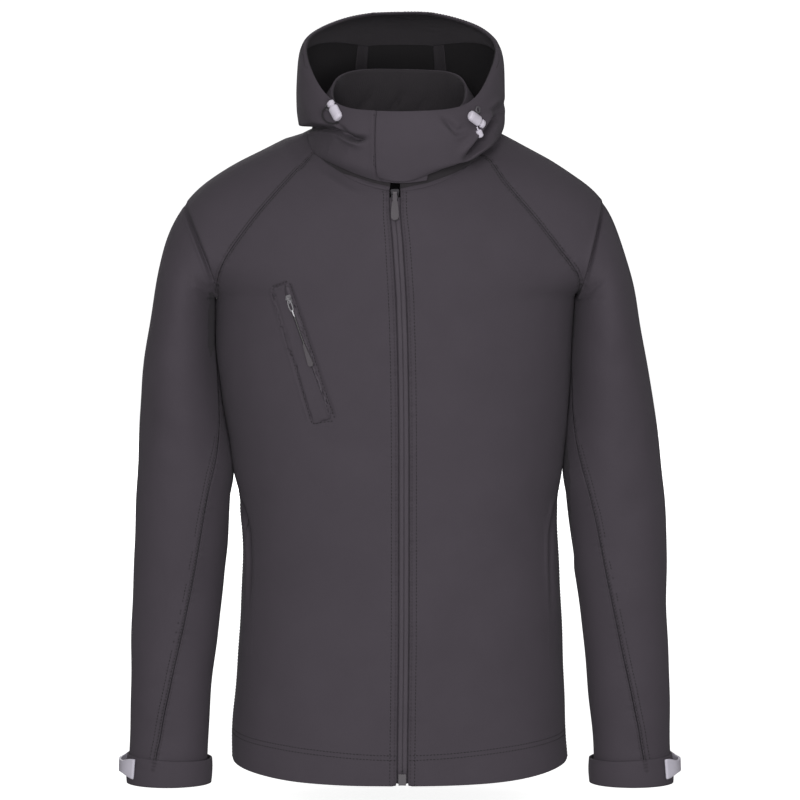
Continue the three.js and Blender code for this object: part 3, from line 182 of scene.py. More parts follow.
def clothMaterial(name, look):
    # Matt cloth with a weave on the clothUv map and sewing marks from the seam attributes; the seam's groove
    # is darkened as painted shade
    material, tree, shader = newMaterial(name)
    uv = tree.nodes.new("ShaderNodeUVMap")
    uv.uv_map = "clothUv"
    place = tree.nodes.new("ShaderNodeTexCoord").outputs["Object"]
    weave = tree.nodes.new("ShaderNodeGroup")
    weave.node_tree = weaveGroup
    weave.inputs["Pitch"].default_value = look["pitch"]
    tree.links.new(uv.outputs[0], weave.inputs["Vector"])
    fibres = noise(tree, place, 900, 4, 0.65)
    mottle = noise(tree, place, 26, 3, 0.55)
    broad = noise(tree, place, 5, 2, 0.5)
    sewn = tree.nodes.new("ShaderNodeGroup")
    sewn.node_tree = sewnGroup
    for label, attribute in (("Distance", "seamDistance"), ("Along", "seamAlong")):
        reader = tree.nodes.new("ShaderNodeAttribute")
        reader.attribute_name = attribute
        tree.links.new(reader.outputs["Fac"], sewn.inputs[label])
    tone = maths(tree, "MULTIPLY_ADD", fibres, 0.5, maths(tree, "MULTIPLY", mottle, 0.3))
    tone = maths(tree, "MULTIPLY_ADD", broad, 0.25, tone)
    colour = mixColour(tree, tone, look["dark"], look["light"])
    # the groove's darkening is painted shade in the seam; the needle rows are darkened in dashes
    for mark in ("Groove", "Row"):
        shade = maths(tree, "MULTIPLY", sewn.outputs[mark], look["seamShade"])
        colour = mixColour(tree, shade, colour, look["seam"])
    tree.links.new(colour, shader.inputs["Base Color"])
    rough = maths(tree, "MULTIPLY_ADD", fibres, 0.12, look["roughness"])
    tree.links.new(rough, shader.inputs["Roughness"])
    shader.inputs["Specular IOR Level"].default_value = look["specular"]
    shader.inputs["Sheen Weight"].default_value = look["sheen"]
    shader.inputs["Sheen Roughness"].default_value = 0.55
    shader.inputs["Sheen Tint"].default_value = (*look["sheenTint"], 1)
    normal = bump(tree, weave.outputs[0], look["weaveDepth"], 0.6)
    normal = bump(tree, fibres, look["fibreDepth"], 0.7, normal)
    normal = bump(tree, mottle, look["mottleDepth"], 0.6, normal)
    normal = bump(tree, sewn.outputs["Pucker"], look["pucker"], 0.8, normal)
    normal = bump(tree, maths(tree, "MULTIPLY", sewn.outputs["Groove"], -1.0), 0.0005, 1.0, normal)
    normal = bump(tree, maths(tree, "MULTIPLY", sewn.outputs["Row"], -1.0), 0.0004, 1.0, normal)
    tree.links.new(normal, shader.inputs["Normal"])
    return material


shellLook = {
    "pitch": 0.0007, "dark": (0.046, 0.0385, 0.0475), "light": (0.078, 0.0665, 0.081),
    "seam": (0.02, 0.017, 0.02), "seamShade": 0.4, "roughness": 0.8, "specular": 0.25, "sheen": 0.06,
    "sheenTint": (0.75, 0.7, 0.78),
    "weaveDepth": 0.00006, "fibreDepth": 0.00012, "mottleDepth": 0.0003, "pucker": 0.0005,
}
fleeceLook = dict(
    shellLook, pitch=0.0016, dark=(0.0175, 0.0155, 0.0175), light=(0.039, 0.034, 0.039), sheen=0.1,
    weaveDepth=0.0002, fibreDepth=0.0004, mottleDepth=0.0008)
tapeLook = dict(
    shellLook, pitch=0.0009, dark=(0.022, 0.019, 0.022), light=(0.046, 0.04, 0.047), sheen=0.05,
    weaveDepth=0.00015, roughness=0.6)
zipLook = dict(
    shellLook, pitch=0.0011, dark=(0.055, 0.047, 0.057), light=(0.09, 0.077, 0.093), sheen=0.03,
    weaveDepth=0.00018, roughness=0.62, mottleDepth=0.0002)
# The hood's inside cloth is darker than the fleece: partly its own dark lining, partly painted shade of the
# deep hood
shadedLiningLook = dict(fleeceLook, dark=(0.006, 0.0053, 0.006), light=(0.0158, 0.0142, 0.0158), sheen=0.04)
shell = clothMaterial("softshell", shellLook)
lining = clothMaterial("hoodLiningShaded", shadedLiningLook)
fleece = clothMaterial("fleece", fleeceLook)
tape = clothMaterial("tapeCloth", tapeLook)
zipCloth = clothMaterial("zipTape", zipLook)


def mouldedMaterial(name, look):
    # Moulded plastic, rubber or metal: fine pitting and a slight change of tone
    material, tree, shader = newMaterial(name)
    place = tree.nodes.new("ShaderNodeTexCoord").outputs["Object"]
    grain = noise(tree, place, look["grain"], 4, 0.6)
    cloud = noise(tree, place, 60, 2, 0.5)
    colour = mixColour(tree, maths(tree, "MULTIPLY_ADD", cloud, 0.7, maths(tree, "MULTIPLY", grain, 0.3)),
                       look["dark"], look["light"])
    tree.links.new(colour, shader.inputs["Base Color"])
    tree.links.new(maths(tree, "MULTIPLY_ADD", grain, 0.15, look["roughness"]), shader.inputs["Roughness"])
    shader.inputs["Metallic"].default_value = look["metallic"]
    tree.links.new(bump(tree, grain, look["depth"], 0.5), shader.inputs["Normal"])
    return material


# Each finish: grain size, darkest and lightest colour, roughness, metallic share and depth of the grain
finishes = {
    "lockPlastic": (700, (0.58, 0.54, 0.62), (0.74, 0.7, 0.79), 0.42, 0, 0.00004),
    "tabRubber": (1100, (0.55, 0.52, 0.6), (0.68, 0.65, 0.74), 0.55, 0, 0.00008),
    "pullRubber": (900, (0.07, 0.062, 0.07), (0.105, 0.094, 0.105), 0.5, 0, 0.00008),
    "darkMetal": (500, (0.035, 0.033, 0.038), (0.07, 0.067, 0.075), 0.32, 0.7, 0.00002),
    "coilNylon": (900, (0.02, 0.018, 0.021), (0.045, 0.041, 0.047), 0.4, 0, 0.00003),
    "steel": (500, (0.22, 0.21, 0.23), (0.36, 0.35, 0.37), 0.35, 0.6, 0.00002),
    "eyelet": (500, (0.1, 0.095, 0.105), (0.17, 0.16, 0.175), 0.4, 0.4, 0.00002),
    "thread": (2500, (0.008, 0.007, 0.008), (0.018, 0.016, 0.018), 0.6, 0, 0.0001),
}
moulded = {name: dict(zip(("grain", "dark", "light", "roughness", "metallic", "depth"), finish))
           for name, finish in finishes.items()}
hard = {name: mouldedMaterial(name, look) for name, look in moulded.items()}
print("materials", len(bpy.data.materials))

# The garment's general direction outwards: away from the nearest of a few lines inside it
bones = [
    ((-0.1, 0, -0.72), (-0.1, 0, -0.2), 0.125), ((0, 0, -0.72), (0, 0, -0.17), 0.13),
    ((0.1, 0, -0.72), (0.1, 0, -0.2), 0.125), ((-0.18, 0.008, -0.195), (0.18, 0.008, -0.195), 0.13),
    ((-0.212, 0, -0.23), (-0.258, -0.016, -0.72), 0.052), ((0.212, 0, -0.23), (0.258, -0.016, -0.72), 0.052),
    ((0, -0.012, -0.12), (0, -0.012, 0.03), 0.09), ((-0.04, 0.06, 0.04), (0.04, 0.06, 0.04), 0.1),
]


def outward(points):
    total = np.zeros_like(points)
    for start, end, radius in bones:
        a, b = np.array(start), np.array(end)
        along = np.clip(((points - a) @ (b - a)) / ((b - a) @ (b - a)), 0, 1)
        away = points - (a + along[:, None] * (b - a))
        reach = np.linalg.norm(away, axis=1) + 1e-6
        total += away / reach[:, None] * ((reach / radius) ** -8)[:, None]
    return total / (np.linalg.norm(total, axis=1) + 1e-9)[:, None]


# Creases, listed: seen from the front (-1), the back (1) or both (0), width, depth (below 0 goes
# inwards) and places across and up. One with a far side presses the cloth there and fades that far
def fold(face, width, depth, line, **more):
    return {"face": face, "width": width, "depth": depth, "line": line, **more}


creases = [
    fold(-1, 0.002, -0.0095, [(-0.2468, -0.04), (-0.2389, -0.0617), (-0.2258, -0.0903), (-0.2138, -0.119),
         (-0.2068, -0.141), (-0.2035, -0.162)], far=0.017, side=1, ends=(0.16, 0.97)),
    fold(-1, 0.002, -0.0095, [(0.2364, -0.037), (0.2257, -0.0606), (0.2181, -0.0903), (0.2105, -0.119),
         (0.2051, -0.141), (0.2, -0.162)], far=0.017, side=-1, ends=(0.16, 0.97)),
    fold(-1, 0.003, -0.005, [(-0.2287, -0.1391), (-0.2148, -0.1486), (-0.2038, -0.1573)]),
    fold(-1, 0.003, -0.005, [(0.2254, -0.139), (0.2115, -0.1497), (0.2016, -0.1551)]),
    fold(-1, 0.0022, -0.0058, [(-0.2478, -0.04), (-0.2399, -0.0617), (-0.2268, -0.0903),
         (-0.2148, -0.119), (-0.2078, -0.141), (-0.2045, -0.162)], ends=(0.15, 0.97)),
    fold(-1, 0.0022, -0.0058, [(0.2374, -0.037), (0.2267, -0.0606), (0.2191, -0.0903), (0.2115, -0.119),
         (0.2061, -0.141), (0.201, -0.162)], ends=(0.15, 0.97)),
    fold(-1, 0.0024, -0.006, [(-0.13, 0.0115), (-0.1138, 0.0196), (-0.0973, 0.0247), (-0.0766, 0.0232),
         (-0.0525, 0.013), (-0.0284, 0.0157)], ends=(0.02, 0.75)),
    # hood: the fold that steps in under the right lock, and the puckers round the left one
    fold(0, 0.0022, -0.0155, [(-0.13, 0.013), (-0.1138, 0.0214), (-0.0973, 0.0265), (-0.0766, 0.025),
         (-0.0525, 0.0148), (-0.0284, 0.0175)], far=0.022, side=1, ends=(0.02, 0.3)),
    fold(-1, 0.0035, -0.008, [(-0.0716, 0.031), (-0.0595, 0.0185), (-0.0464, 0.0125), (-0.034, 0.0135)],
         ends=(0.3, 0.6)),
    fold(-1, 0.004, -0.006, [(0.121, 0.055), (0.1054, 0.0439), (0.0933, 0.0384)]),
    fold(-1, 0.0046, -0.0178, [(0.116, 0.044), (0.1027, 0.0312), (0.0907, 0.0138), (0.0787, -0.0026),
         (0.066, -0.0163)], ends=(0.3, 0.6)),
    fold(-1, 0.004, -0.0055, [(0.0421, 0.042), (0.053, 0.031), (0.062, 0.0215), (0.0779, 0.0263)]),
    fold(-1, 0.0044, -0.0105, [(0.121, 0.012), (0.1, -0.002), (0.068, -0.021)]),
    fold(-1, 0.005, -0.003, [(-0.1, 0.004), (-0.082, -0.018), (-0.052, -0.036), (-0.028, -0.043)]),
    # hood: the over-flap's edge stands off the under-flap, and the collar lies back under the hood
    fold(-1, 0.003, -0.0028, [(-0.0245, 0.05), (-0.0245, 0.01), (-0.0235, -0.036)], node="hood_right",
         ends=(0.05, 0.97)),
    fold(-1, 0.006, 0.0012, [(-0.0225, 0.05), (-0.0225, 0.01), (-0.0215, -0.036)], node="hood_left",
         ends=(0.3, 0.97)),
    fold(-1, 0.0068, -0.0075, [(-0.095, 0.0), (-0.06, -0.018), (-0.03, -0.028), (0.0, -0.034),
         (0.03, -0.028), (0.06, -0.018), (0.095, 0.0)], node="collar", ends=(0.1, 0.9)),
    # the chest pocket's outline, pressed in by its sewing
    fold(-1, 0.0016, -0.0034, [(-0.1392, -0.1487), (-0.0956, -0.2942)], node="front_right",
         ends=(0.02, 0.98)),
    fold(-1, 0.0016, -0.0028, [(-0.1208, -0.1425), (-0.0716, -0.2895)], node="front_right",
         ends=(0.02, 0.98)),
    fold(-1, 0.0016, -0.002, [(-0.139, -0.1478), (-0.1228, -0.1418)], node="front_right",
         ends=(0.05, 0.95)),
    fold(-1, 0.0016, -0.002, [(-0.0953, -0.2948), (-0.0733, -0.2912)], node="front_right",
         ends=(0.05, 0.95)),
    # side pockets' mouths
    fold(-1, 0.0026, -0.005, [(-0.183, -0.384), (-0.1745, -0.396), (-0.1686, -0.4216), (-0.167, -0.4551),
         (-0.169, -0.53)], ends=(0.12, 0.35)),
    fold(-1, 0.0026, -0.005, [(0.181, -0.381), (0.1728, -0.394), (0.1664, -0.4216), (0.166, -0.4551),
         (0.168, -0.53)], ends=(0.12, 0.35)),
    # the collar's lining, slack across its back
    fold(0, 0.005, 0.003, [(-0.055, 0.03), (-0.035, 0.055), (-0.025, 0.075)], inner=True),
    fold(0, 0.005, 0.003, [(-0.02, 0.028), (-0.002, 0.05), (0.012, 0.072)], inner=True),
    fold(0, 0.004, 0.0025, [(0.012, 0.03), (0.03, 0.052), (0.04, 0.07)], inner=True),
    # sleeves, front
    fold(-1, 0.014, -0.0018, [(-0.262, -0.2), (-0.24, -0.225), (-0.215, -0.232)]),
    fold(-1, 0.017, -0.002, [(-0.275, -0.29), (-0.25, -0.318), (-0.222, -0.322)]),
    fold(-1, 0.013, -0.003, [(-0.2865, -0.2502), (-0.2821, -0.2936), (-0.2836, -0.3427)]),
    fold(-1, 0.015, -0.0015, [(-0.282, -0.37), (-0.262, -0.358), (-0.232, -0.372)]),
    fold(-1, 0.016, -0.0014, [(-0.29, -0.46), (-0.262, -0.478), (-0.238, -0.47)]),
    fold(-1, 0.015, -0.0012, [(-0.292, -0.585), (-0.268, -0.6), (-0.236, -0.594)]),
    fold(-1, 0.012, -0.0012, [(-0.29, -0.64), (-0.255, -0.655), (-0.228, -0.645)]),
    fold(-1, 0.014, -0.0018, [(0.258, -0.21), (0.238, -0.236), (0.214, -0.24)]),
    fold(-1, 0.017, -0.002, [(0.272, -0.305), (0.248, -0.33), (0.22, -0.33)]),
    fold(-1, 0.013, -0.003, [(0.2925, -0.25), (0.291, -0.3), (0.2935, -0.36)]),
    fold(-1, 0.015, -0.0015, [(0.284, -0.4), (0.26, -0.388), (0.23, -0.4)]),
    fold(-1, 0.016, -0.0014, [(0.29, -0.5), (0.264, -0.512), (0.24, -0.5)]),
    fold(-1, 0.015, -0.0012, [(0.292, -0.6), (0.266, -0.618), (0.238, -0.606)]),
    fold(-1, 0.012, -0.0012, [(0.288, -0.65), (0.258, -0.66), (0.23, -0.652)]),
    # sleeves and back, behind
    fold(1, 0.018, -0.0028, [(-0.285, -0.27), (-0.25, -0.295), (-0.215, -0.29)]),
    fold(1, 0.016, -0.0026, [(-0.288, -0.35), (-0.255, -0.37), (-0.22, -0.352)]),
    fold(1, 0.016, -0.002, [(-0.29, -0.45), (-0.26, -0.438), (-0.23, -0.452)]),
    fold(1, 0.018, -0.0028, [(0.288, -0.28), (0.252, -0.31), (0.216, -0.296)]),
    fold(1, 0.016, -0.0026, [(0.29, -0.37), (0.256, -0.385), (0.224, -0.37)]),
    fold(1, 0.016, -0.002, [(0.29, -0.47), (0.262, -0.46), (0.232, -0.472)]),
    fold(1, 0.02, -0.003, [(-0.2, -0.15), (-0.165, -0.21), (-0.12, -0.25)]),
    fold(1, 0.02, -0.003, [(0.2, -0.155), (0.168, -0.205), (0.125, -0.262)]),
    fold(1, 0.03, -0.003, [(-0.12, -0.38), (-0.02, -0.4), (0.09, -0.388)]),
    fold(1, 0.028, -0.0024, [(-0.08, -0.5), (0.03, -0.515), (0.13, -0.492)]),
    fold(1, 0.014, -0.003, [(-0.09, 0.09), (-0.04, 0.07), (0.03, 0.078)]),
    fold(1, 0.016, -0.003, [(-0.03, 0.02), (0.03, 0.008), (0.075, 0.03)]),
]


def creaseShift(points, facing, node):
    # How far each point moves out or in for the creases that pass it
    flat = points[:, [0, 2]]
    shift = np.zeros(len(points))
    for crease in creases:
        if crease.get("node", node) != node or crease.get("inner", False) != (node == "collar_lining"):
            continue
        line = np.array(crease["line"])
        reachMax = 4 * max(crease["width"], crease.get("far", 0))
        near = (flat > line.min(axis=0) - reachMax) & (flat < line.max(axis=0) + reachMax)
        inside = np.flatnonzero(near.all(axis=1))
        if len(inside) == 0:
            continue
        spots = flat[inside]
        lengths = np.linalg.norm(np.diff(line, axis=0), axis=1)
        starts = np.concatenate([[0], np.cumsum(lengths)])
        best = np.full(len(spots), 1e9)
        place = np.zeros(len(spots))
        lean = np.ones(len(spots))
        for k, (a, b) in enumerate(zip(line[:-1], line[1:])):
            t = np.clip(((spots - a) @ (b - a)) / lengths[k] ** 2, 0, 1)
            away = spots - (a + t[:, None] * (b - a))
            reach = np.linalg.norm(away, axis=1)
            closer = reach < best
            best = np.where(closer, reach, best)
            place = np.where(closer, (starts[k] + t * lengths[k]) / starts[-1], place)
            turn = away[:, 0] * (b - a)[1] - away[:, 1] * (b - a)[0]
            lean = np.where(closer & (np.abs(turn) > 1e-12), np.sign(turn), lean)
        rise, fall = crease.get("ends", (0.5, 0.5))
        taper = smoothStep(place / rise) * smoothStep((1 - place) / max(1 - fall, 0.03))
        across = best / crease["width"] * lean
        profile = np.exp(-across ** 2) - 0.4 * np.exp(-(across - 1.6) ** 2)
        if "far" in crease:
            pressed = across * crease["side"] > 0
            profile = np.where(pressed, np.exp(-(best / crease["far"]) ** 1.3), np.exp(-across ** 2))
        seen = smoothStep((facing[inside] * crease["face"] + 0.1) / 0.45) if crease["face"] else 1.0
        shift[inside] += crease["depth"] * taper * profile * seen
    return shift


def bodyShift(points):
    # Slow unevenness all over, so that no panel is a perfect surface
    x, y, z = points.T
    return 0.0009 * np.sin(31 * z + 9 * x + 2) * np.sin(17 * x - 12 * z + 21 * y) + 0.0005 * np.sin(
        57 * z - 33 * x + 40 * y) * np.sin(23 * z + 44 * x)


# Below the armholes body and sleeves touch: each is let out by half of the gap that the frame leaves
contact = {
    "top": -0.16, "start": 0.012, "bottom": -0.385, "fade": 0.03, "reach": 0.03, "press": 0.0006,
    "most": 0.006,
}
neckline = {"near": 0.009, "full": 0.002, "step": 0.0011}


def framePoints(node):
    flat = np.empty(len(nodes[node].data.vertices) * 3)
    nodes[node].data.vertices.foreach_get("co", flat)
    return flat.reshape(-1, 3)


def reachAt(names, z, sign):
    # How far out each edge of the named nodes crosses a height
    found = []
    for name in names:
        cloud = framePoints(name)
        ends = np.array([e.vertices[:] for e in nodes[name].data.edges])
        a, b = cloud[ends[:, 0]], cloud[ends[:, 1]]
        crossing = ((a[:, 2] - z) * (b[:, 2] - z) < 0) & (a[:, 0] * sign > 0.1)
        a, b = a[crossing], b[crossing]
        t = (z - a[:, 2]) / (b[:, 2] - a[:, 2])
        found.append((a[:, 0] + t * (b[:, 0] - a[:, 0])) * sign)
    return np.concatenate(found)


def gapTable(side):
    # Heights, the body's greatest reach out and the sleeve's least
    heights = np.arange(contact["bottom"] - 0.02, contact["top"] - 0.006, 0.01)
    out = [reachAt(["back", f"front_{side}"], z, sides[side]).max() for z in heights]
    least = [reachAt([f"sleeve_upper_{side}", f"sleeve_under_{side}"], z, sides[side]).min() for z in heights]
    return heights, out, least


gaps = {side: gapTable(side) for side in sides}


def closeArms(points, node):
    shift = np.zeros(len(points))
    x, z = points[:, 0], points[:, 2]
    span = smoothStep((contact["top"] - z) / contact["start"])
    span *= smoothStep((z - contact["bottom"]) / contact["fade"])
    for side, sign in sides.items():
        heights, out, least = gaps[side]
        sleeveAt, bodyAt = np.interp(z, heights, least), np.interp(z, heights, out)
        half = (sleeveAt - bodyAt) / 2 + contact["press"]
        half = np.clip(half, 0, contact["most"]) * span * (x * sign > 0)
        if node.startswith("sleeve"):
            shift -= sign * half * smoothStep((sleeveAt + contact["reach"] - x * sign) / contact["reach"])
        elif node in ("back", "front_right", "front_left"):
            shift += sign * half * smoothStep((x * sign - bodyAt + contact["reach"]) / contact["reach"])
    return shift


def treeOfFrame(names):
    mesh = bmesh.new()
    for name in names:
        mesh.from_mesh(nodes[name].data)
    tree = BVHTree.FromBMesh(mesh)
    mesh.free()
    return tree


neckTrees = {
    "collar": treeOfFrame(["collar"]),
    "panels": treeOfFrame(["back", "front_right", "front_left", "sleeve_upper_right", "sleeve_upper_left"]),
}


def closeNeck(points, node):
    # The panels' neck edges and the collar's foot drawn together
    tree = neckTrees["panels" if node == "collar" else "collar"]
    moved = np.zeros_like(points)
    high = points[:, 2] > -0.06 if node != "collar" else points[:, 2] < 0.05
    for k in np.flatnonzero(high):
        spot, _, _, reach = tree.find_nearest(Vector(points[k]), neckline["near"])
        if spot is not None and reach > 1e-5:
            share = smoothStep((neckline["near"] - reach) / (neckline["near"] - neckline["full"]))
            moved[k] = (spot - Vector(points[k]))[:]
            moved[k] *= min(neckline["step"] * float(share), reach) / reach
    return moved


def deform(points, node=""):
    away = outward(points)
    moved = points + away * (creaseShift(points, away[:, 1], node) + bodyShift(points))[:, None]
    moved[:, 0] += closeArms(points, node)
    if node in ("back", "collar") or node.startswith(("front", "sleeve_upper")):
        moved += closeNeck(points, node)
    return moved


# Cloth panels: the frame's own walls, rounded off and creased


def mergedMesh(node):
    # bmesh of a CAD node with its points merged, in four-sided faces where it can be
    mesh = bmesh.new()
    mesh.from_mesh(nodes[node].data)
    bmesh.ops.remove_doubles(mesh, verts=mesh.verts, dist=1e-5)
    bmesh.ops.join_triangles(mesh, faces=mesh.faces, angle_face_threshold=math.radians(40),
                             angle_shape_threshold=math.radians(180), topology_influence=1.0)
    return mesh


def evaluated(mesh, levels):
    # The mesh after a subdivision surface
    data = bpy.data.meshes.new("work")
    mesh.to_mesh(data)
    mesh.free()
    holder = link(bpy.data.objects.new("work", data))
    smooth = holder.modifiers.new("smooth", "SUBSURF")
    smooth.levels = smooth.render_levels = levels
    result = bpy.data.meshes.new_from_object(holder.evaluated_get(bpy.context.evaluated_depsgraph_get()))
    bpy.data.objects.remove(holder)
    bpy.data.meshes.remove(data)
    return result


def meshPoints(data):
    flat = np.empty(len(data.vertices) * 3)
    data.vertices.foreach_get("co", flat)
    return flat.reshape(-1, 3)


def setPoints(data, points):
    data.vertices.foreach_set("co", points.ravel())
    data.update()


def panelMesh(node, levels, rimWidth=0.0026):
    mesh = mergedMesh(node)
    crease = mesh.edges.layers.float.get("crease_edge") or mesh.edges.layers.float.new("crease_edge")
    for edge in mesh.edges:
        if len(edge.link_faces) != 2:
            continue
        widths = [min(e.calc_length() for e in face.edges) for face in edge.link_faces]
        if edge.calc_face_angle(0) > math.radians(50) and min(widths) < rimWidth:
            atSeam = all(nearOther(node, v.co) for v in edge.verts)
            edge[crease] = 1.0 if atSeam else 0.85
    return evaluated(mesh, levels)


def nearOther(node, spot):
    return any(panelOwners[k] != node for _, k, _ in panelPlaces.find_range(spot, 0.0013))


def refine(data, node):
    # Finer faces where a narrow crease passes
    points = meshPoints(data)
    near = np.zeros(len(points), dtype=bool)
    facing = outward(points)[:, 1]
    for crease in creases:
        if crease["width"] > 0.0061 or crease.get("node", node) != node or crease.get("inner", False) != (
                node == "collar_lining"):
            continue
        line = np.array(crease["line"])
        flat = points[:, [0, 2]]
        for a, b in zip(line[:-1], line[1:]):
            t = np.clip(((flat - a) @ (b - a)) / ((b - a) @ (b - a)), 0, 1)
            reach = np.linalg.norm(flat - (a + t[:, None] * (b - a)), axis=1)
            near |= (reach < 0.009) & (facing * crease["face"] > -0.2)
    if not near.any():
        return
    mesh = bmesh.new()
    mesh.from_mesh(data)
    mesh.verts.ensure_lookup_table()
    edges = [e for e in mesh.edges if near[e.verts[0].index] and near[e.verts[1].index]]
    bmesh.ops.subdivide_edges(mesh, edges=edges, cuts=1, use_grid_fill=True)
    mesh.to_mesh(data)
    mesh.free()


# Where cloth runs round the body and round an arm, for the weave
def clothUv(points, node):
    x, y, z = points.T
    if node.startswith(("sleeve", "cuff")):
        sign = -1 if node.endswith("right") else 1
        centreX = sign * (0.212 + 0.046 * np.clip((-0.23 - z) / 0.49, 0, 1))
        return np.stack([np.arctan2(x - centreX, -y) * 0.06, z], axis=1)
    return np.stack([np.arctan2(x, -y) * np.hypot(x, y), z + 0.3 * np.abs(y)], axis=1)


def dressCloth(data, uv, *materials):
    # The weave's map, the cloth and smooth shading, and the mesh put in the scene
    loops = np.empty(len(data.loops), dtype=np.int32)
    data.loops.foreach_get("vertex_index", loops)
    data.uv_layers.new(name="clothUv").data.foreach_set("uv", uv[loops].astype(np.float32).ravel())
    data.materials.clear()
    for material in materials:
        data.materials.append(material)
    data.shade_smooth()
    return link(bpy.data.objects.new(data.name, data))


def markUnsewn(data):
    # Cloth with no seam near it
    marks = data.attributes.new("seamDistance", "FLOAT", "POINT")
    marks.data.foreach_set("value", [0.03] * len(data.vertices))


panels = {
    "back": {"levels": 3}, "front_right": {"levels": 3}, "front_left": {"levels": 3},
    "sleeve_upper_right": {"levels": 3}, "sleeve_upper_left": {"levels": 3},
    "sleeve_under_right": {"levels": 3}, "sleeve_under_left": {"levels": 3},
    "cuff_right": {"levels": 2}, "cuff_left": {"levels": 2}, "collar": {"levels": 2},
    "collar_lining": {"levels": 2, "material": fleece},
    "hood_right": {"levels": 3}, "hood_left": {"levels": 3}, "hood_centre": {"levels": 3},
    "hood_facing": {"levels": 2, "material": fleece},
    "hood_tape_right": {"levels": 2, "material": tape}, "hood_tape_left": {"levels": 2, "material": tape},
}
panelOwners = [node for node in panels for _ in nodes[node].data.vertices]
panelPlaces = kdtree.KDTree(len(panelOwners))
for k, p in enumerate(np.concatenate([framePoints(node) for node in panels])):
    panelPlaces.insert(p, k)
panelPlaces.balance()
cloth = {}
for node, plan in panels.items():
    data = panelMesh(node, plan["levels"])
    refine(data, node)
    data.name = node + "_cloth"
    points = meshPoints(data)
    uv = clothUv(points, node)
    setPoints(data, deform(points, node))
    if "material" in plan:
        cloth[node] = dressCloth(data, uv, plan["material"])
        continue
    cloth[node] = dressCloth(data, uv, shell, lining if node.startswith("hood") else fleece)
    middles = np.array([f.center[:] for f in data.polygons])
    normals = np.array([f.normal[:] for f in data.polygons])
    inside = (normals * outward(middles)).sum(axis=1) < -0.25
    data.polygons.foreach_set("material_index", inside.astype(np.int32))
print("cloth", sum(len(p.data.polygons) for p in cloth.values()) * 2)


def treeOf(names):
    vertices, faces = [], []
    for name in names:
        data = cloth[name].data
        base = len(vertices)
        vertices += [v.co.copy() for v in data.vertices]
        faces += [[base + i for i in f.vertices] for f in data.polygons]
    return BVHTree.FromPolygons(vertices, faces)


trees = {name: treeOf([name]) for name in cloth}

# Seam lines, read off the CAD panels that meet there


def cadPoints(node):
    mesh = mergedMesh(node)
    points = np.array([v.co[:] for v in mesh.verts])
    mesh.free()
    return points


cadCloth = {node: cadPoints(node) for node in panels}


def chain(points, start):
    # Points put in order, each next the nearest one left
    left = [Vector(p) for p in points]
    path = [left.pop(start)]
    while left:
        k = min(range(len(left)), key=lambda i: (left[i] - path[-1]).length)
        if (left[k] - path[-1]).length > 0.07:
            break
        path.append(left.pop(k))
    return path


def resample(path, pitch):
    lengths = [0.0]
    for a, b in zip(path[:-1], path[1:]):
        lengths.append(lengths[-1] + (b - a).length)
    count = max(int(lengths[-1] / pitch), 1)
    places = np.arange(count + 1) * lengths[-1] / count
    table = np.array([p[:] for p in path])
    return np.stack([np.interp(places, lengths, table[:, k]) for k in range(3)], axis=1)


seamPitch = 0.0015  # between the points of a seam line, in metres


def soften(points, rounds):
    for _ in range(rounds):
        points[1:-1] = 0.25 * points[:-2] + 0.5 * points[1:-1] + 0.25 * points[2:]
    return points


def seamLine(first, second, keep=None, reach=0.0011):
    own, other = cadCloth[first], cadCloth[second]
    tree = kdtree.KDTree(len(other))
    for i, p in enumerate(other):
        tree.insert(p, i)
    tree.balance()
    near = np.array([p for p in own if tree.find(p)[2] < reach and (keep is None or keep(p))])
    away = outward(near)
    gaps = near[None] - near[:, None]
    reachOut = np.einsum("ijk,ik->ij", gaps, away)
    size = np.linalg.norm(gaps, axis=2)
    hidden = ((size > 0.0008) & (size < 0.0026) & (reachOut > 0.55 * size)).any(axis=1)
    outer = near[~hidden]
    path = chain(outer, int(np.argmax(outer[:, 2])))
    return deform(soften(resample(path, seamPitch), 3))


seams = {}
for side in sides:
    seams[f"raglan_front_{side}"] = seamLine(f"front_{side}", f"sleeve_upper_{side}")
    seams[f"raglan_back_{side}"] = seamLine("back", f"sleeve_upper_{side}",
                                            lambda p, s=sides[side]: p[0] * s > 0)
    seams[f"side_{side}"] = seamLine(f"front_{side}", "back", lambda p, s=sides[side]: p[0] * s > 0)
    for face, sign in (("front", -1), ("back", 1)):
        seams[f"sleeve_{face}_{side}"] = seamLine(
            f"sleeve_upper_{side}", f"sleeve_under_{side}",
            lambda p, f=sign: (p[1] + 0.005) * f > 0)
    seams[f"hood_{side}"] = seamLine(f"hood_{side}", "hood_centre")
print("seams", {name: round(len(line) * seamPitch, 2) for name, line in seams.items()})

# Edge lines: the front edges beside the zip, and the hood's rim


def frontEdge(side):
    sign = sides[side]
    own = cadCloth[f"front_{side}"]
    rows = own[(np.abs(own[:, 0] - np.interp(own[:, 2], [-0.692, -0.3, 0], [0.002, 0.002, -0.006])) < 0.012)]
    rows = rows[rows[:, 1] < -0.08]
    order = rows[np.argsort(-rows[:, 2])]
    path = []
    for p in order:
        if path and path[-1][2] - p[2] < 0.004:
            if p[1] < path[-1][1]:
                path[-1] = Vector(p)
            continue
        path.append(Vector(p))
    return deform(resample(path, seamPitch))


edges = {side: frontEdge(side) for side in sides}
hoodPieces = ["hood_right", "hood_left", "hood_centre"]


def rimLine():
    points = np.concatenate([meshPoints(cloth[name].data) for name in hoodPieces])
    turn = np.arctan2(points[:, 0] - 0.001, -(points[:, 1] + 0.012))
    bins = np.linspace(-math.pi, math.pi, 181)
    path = []
    for a, b in zip(bins[:-1], bins[1:]):
        slot = points[(turn >= a) & (turn < b)]
        if len(slot):
            path.append(Vector(slot[np.argmax(slot[:, 2])]))
    return soften(resample(path, seamPitch), 6)


rim = rimLine()

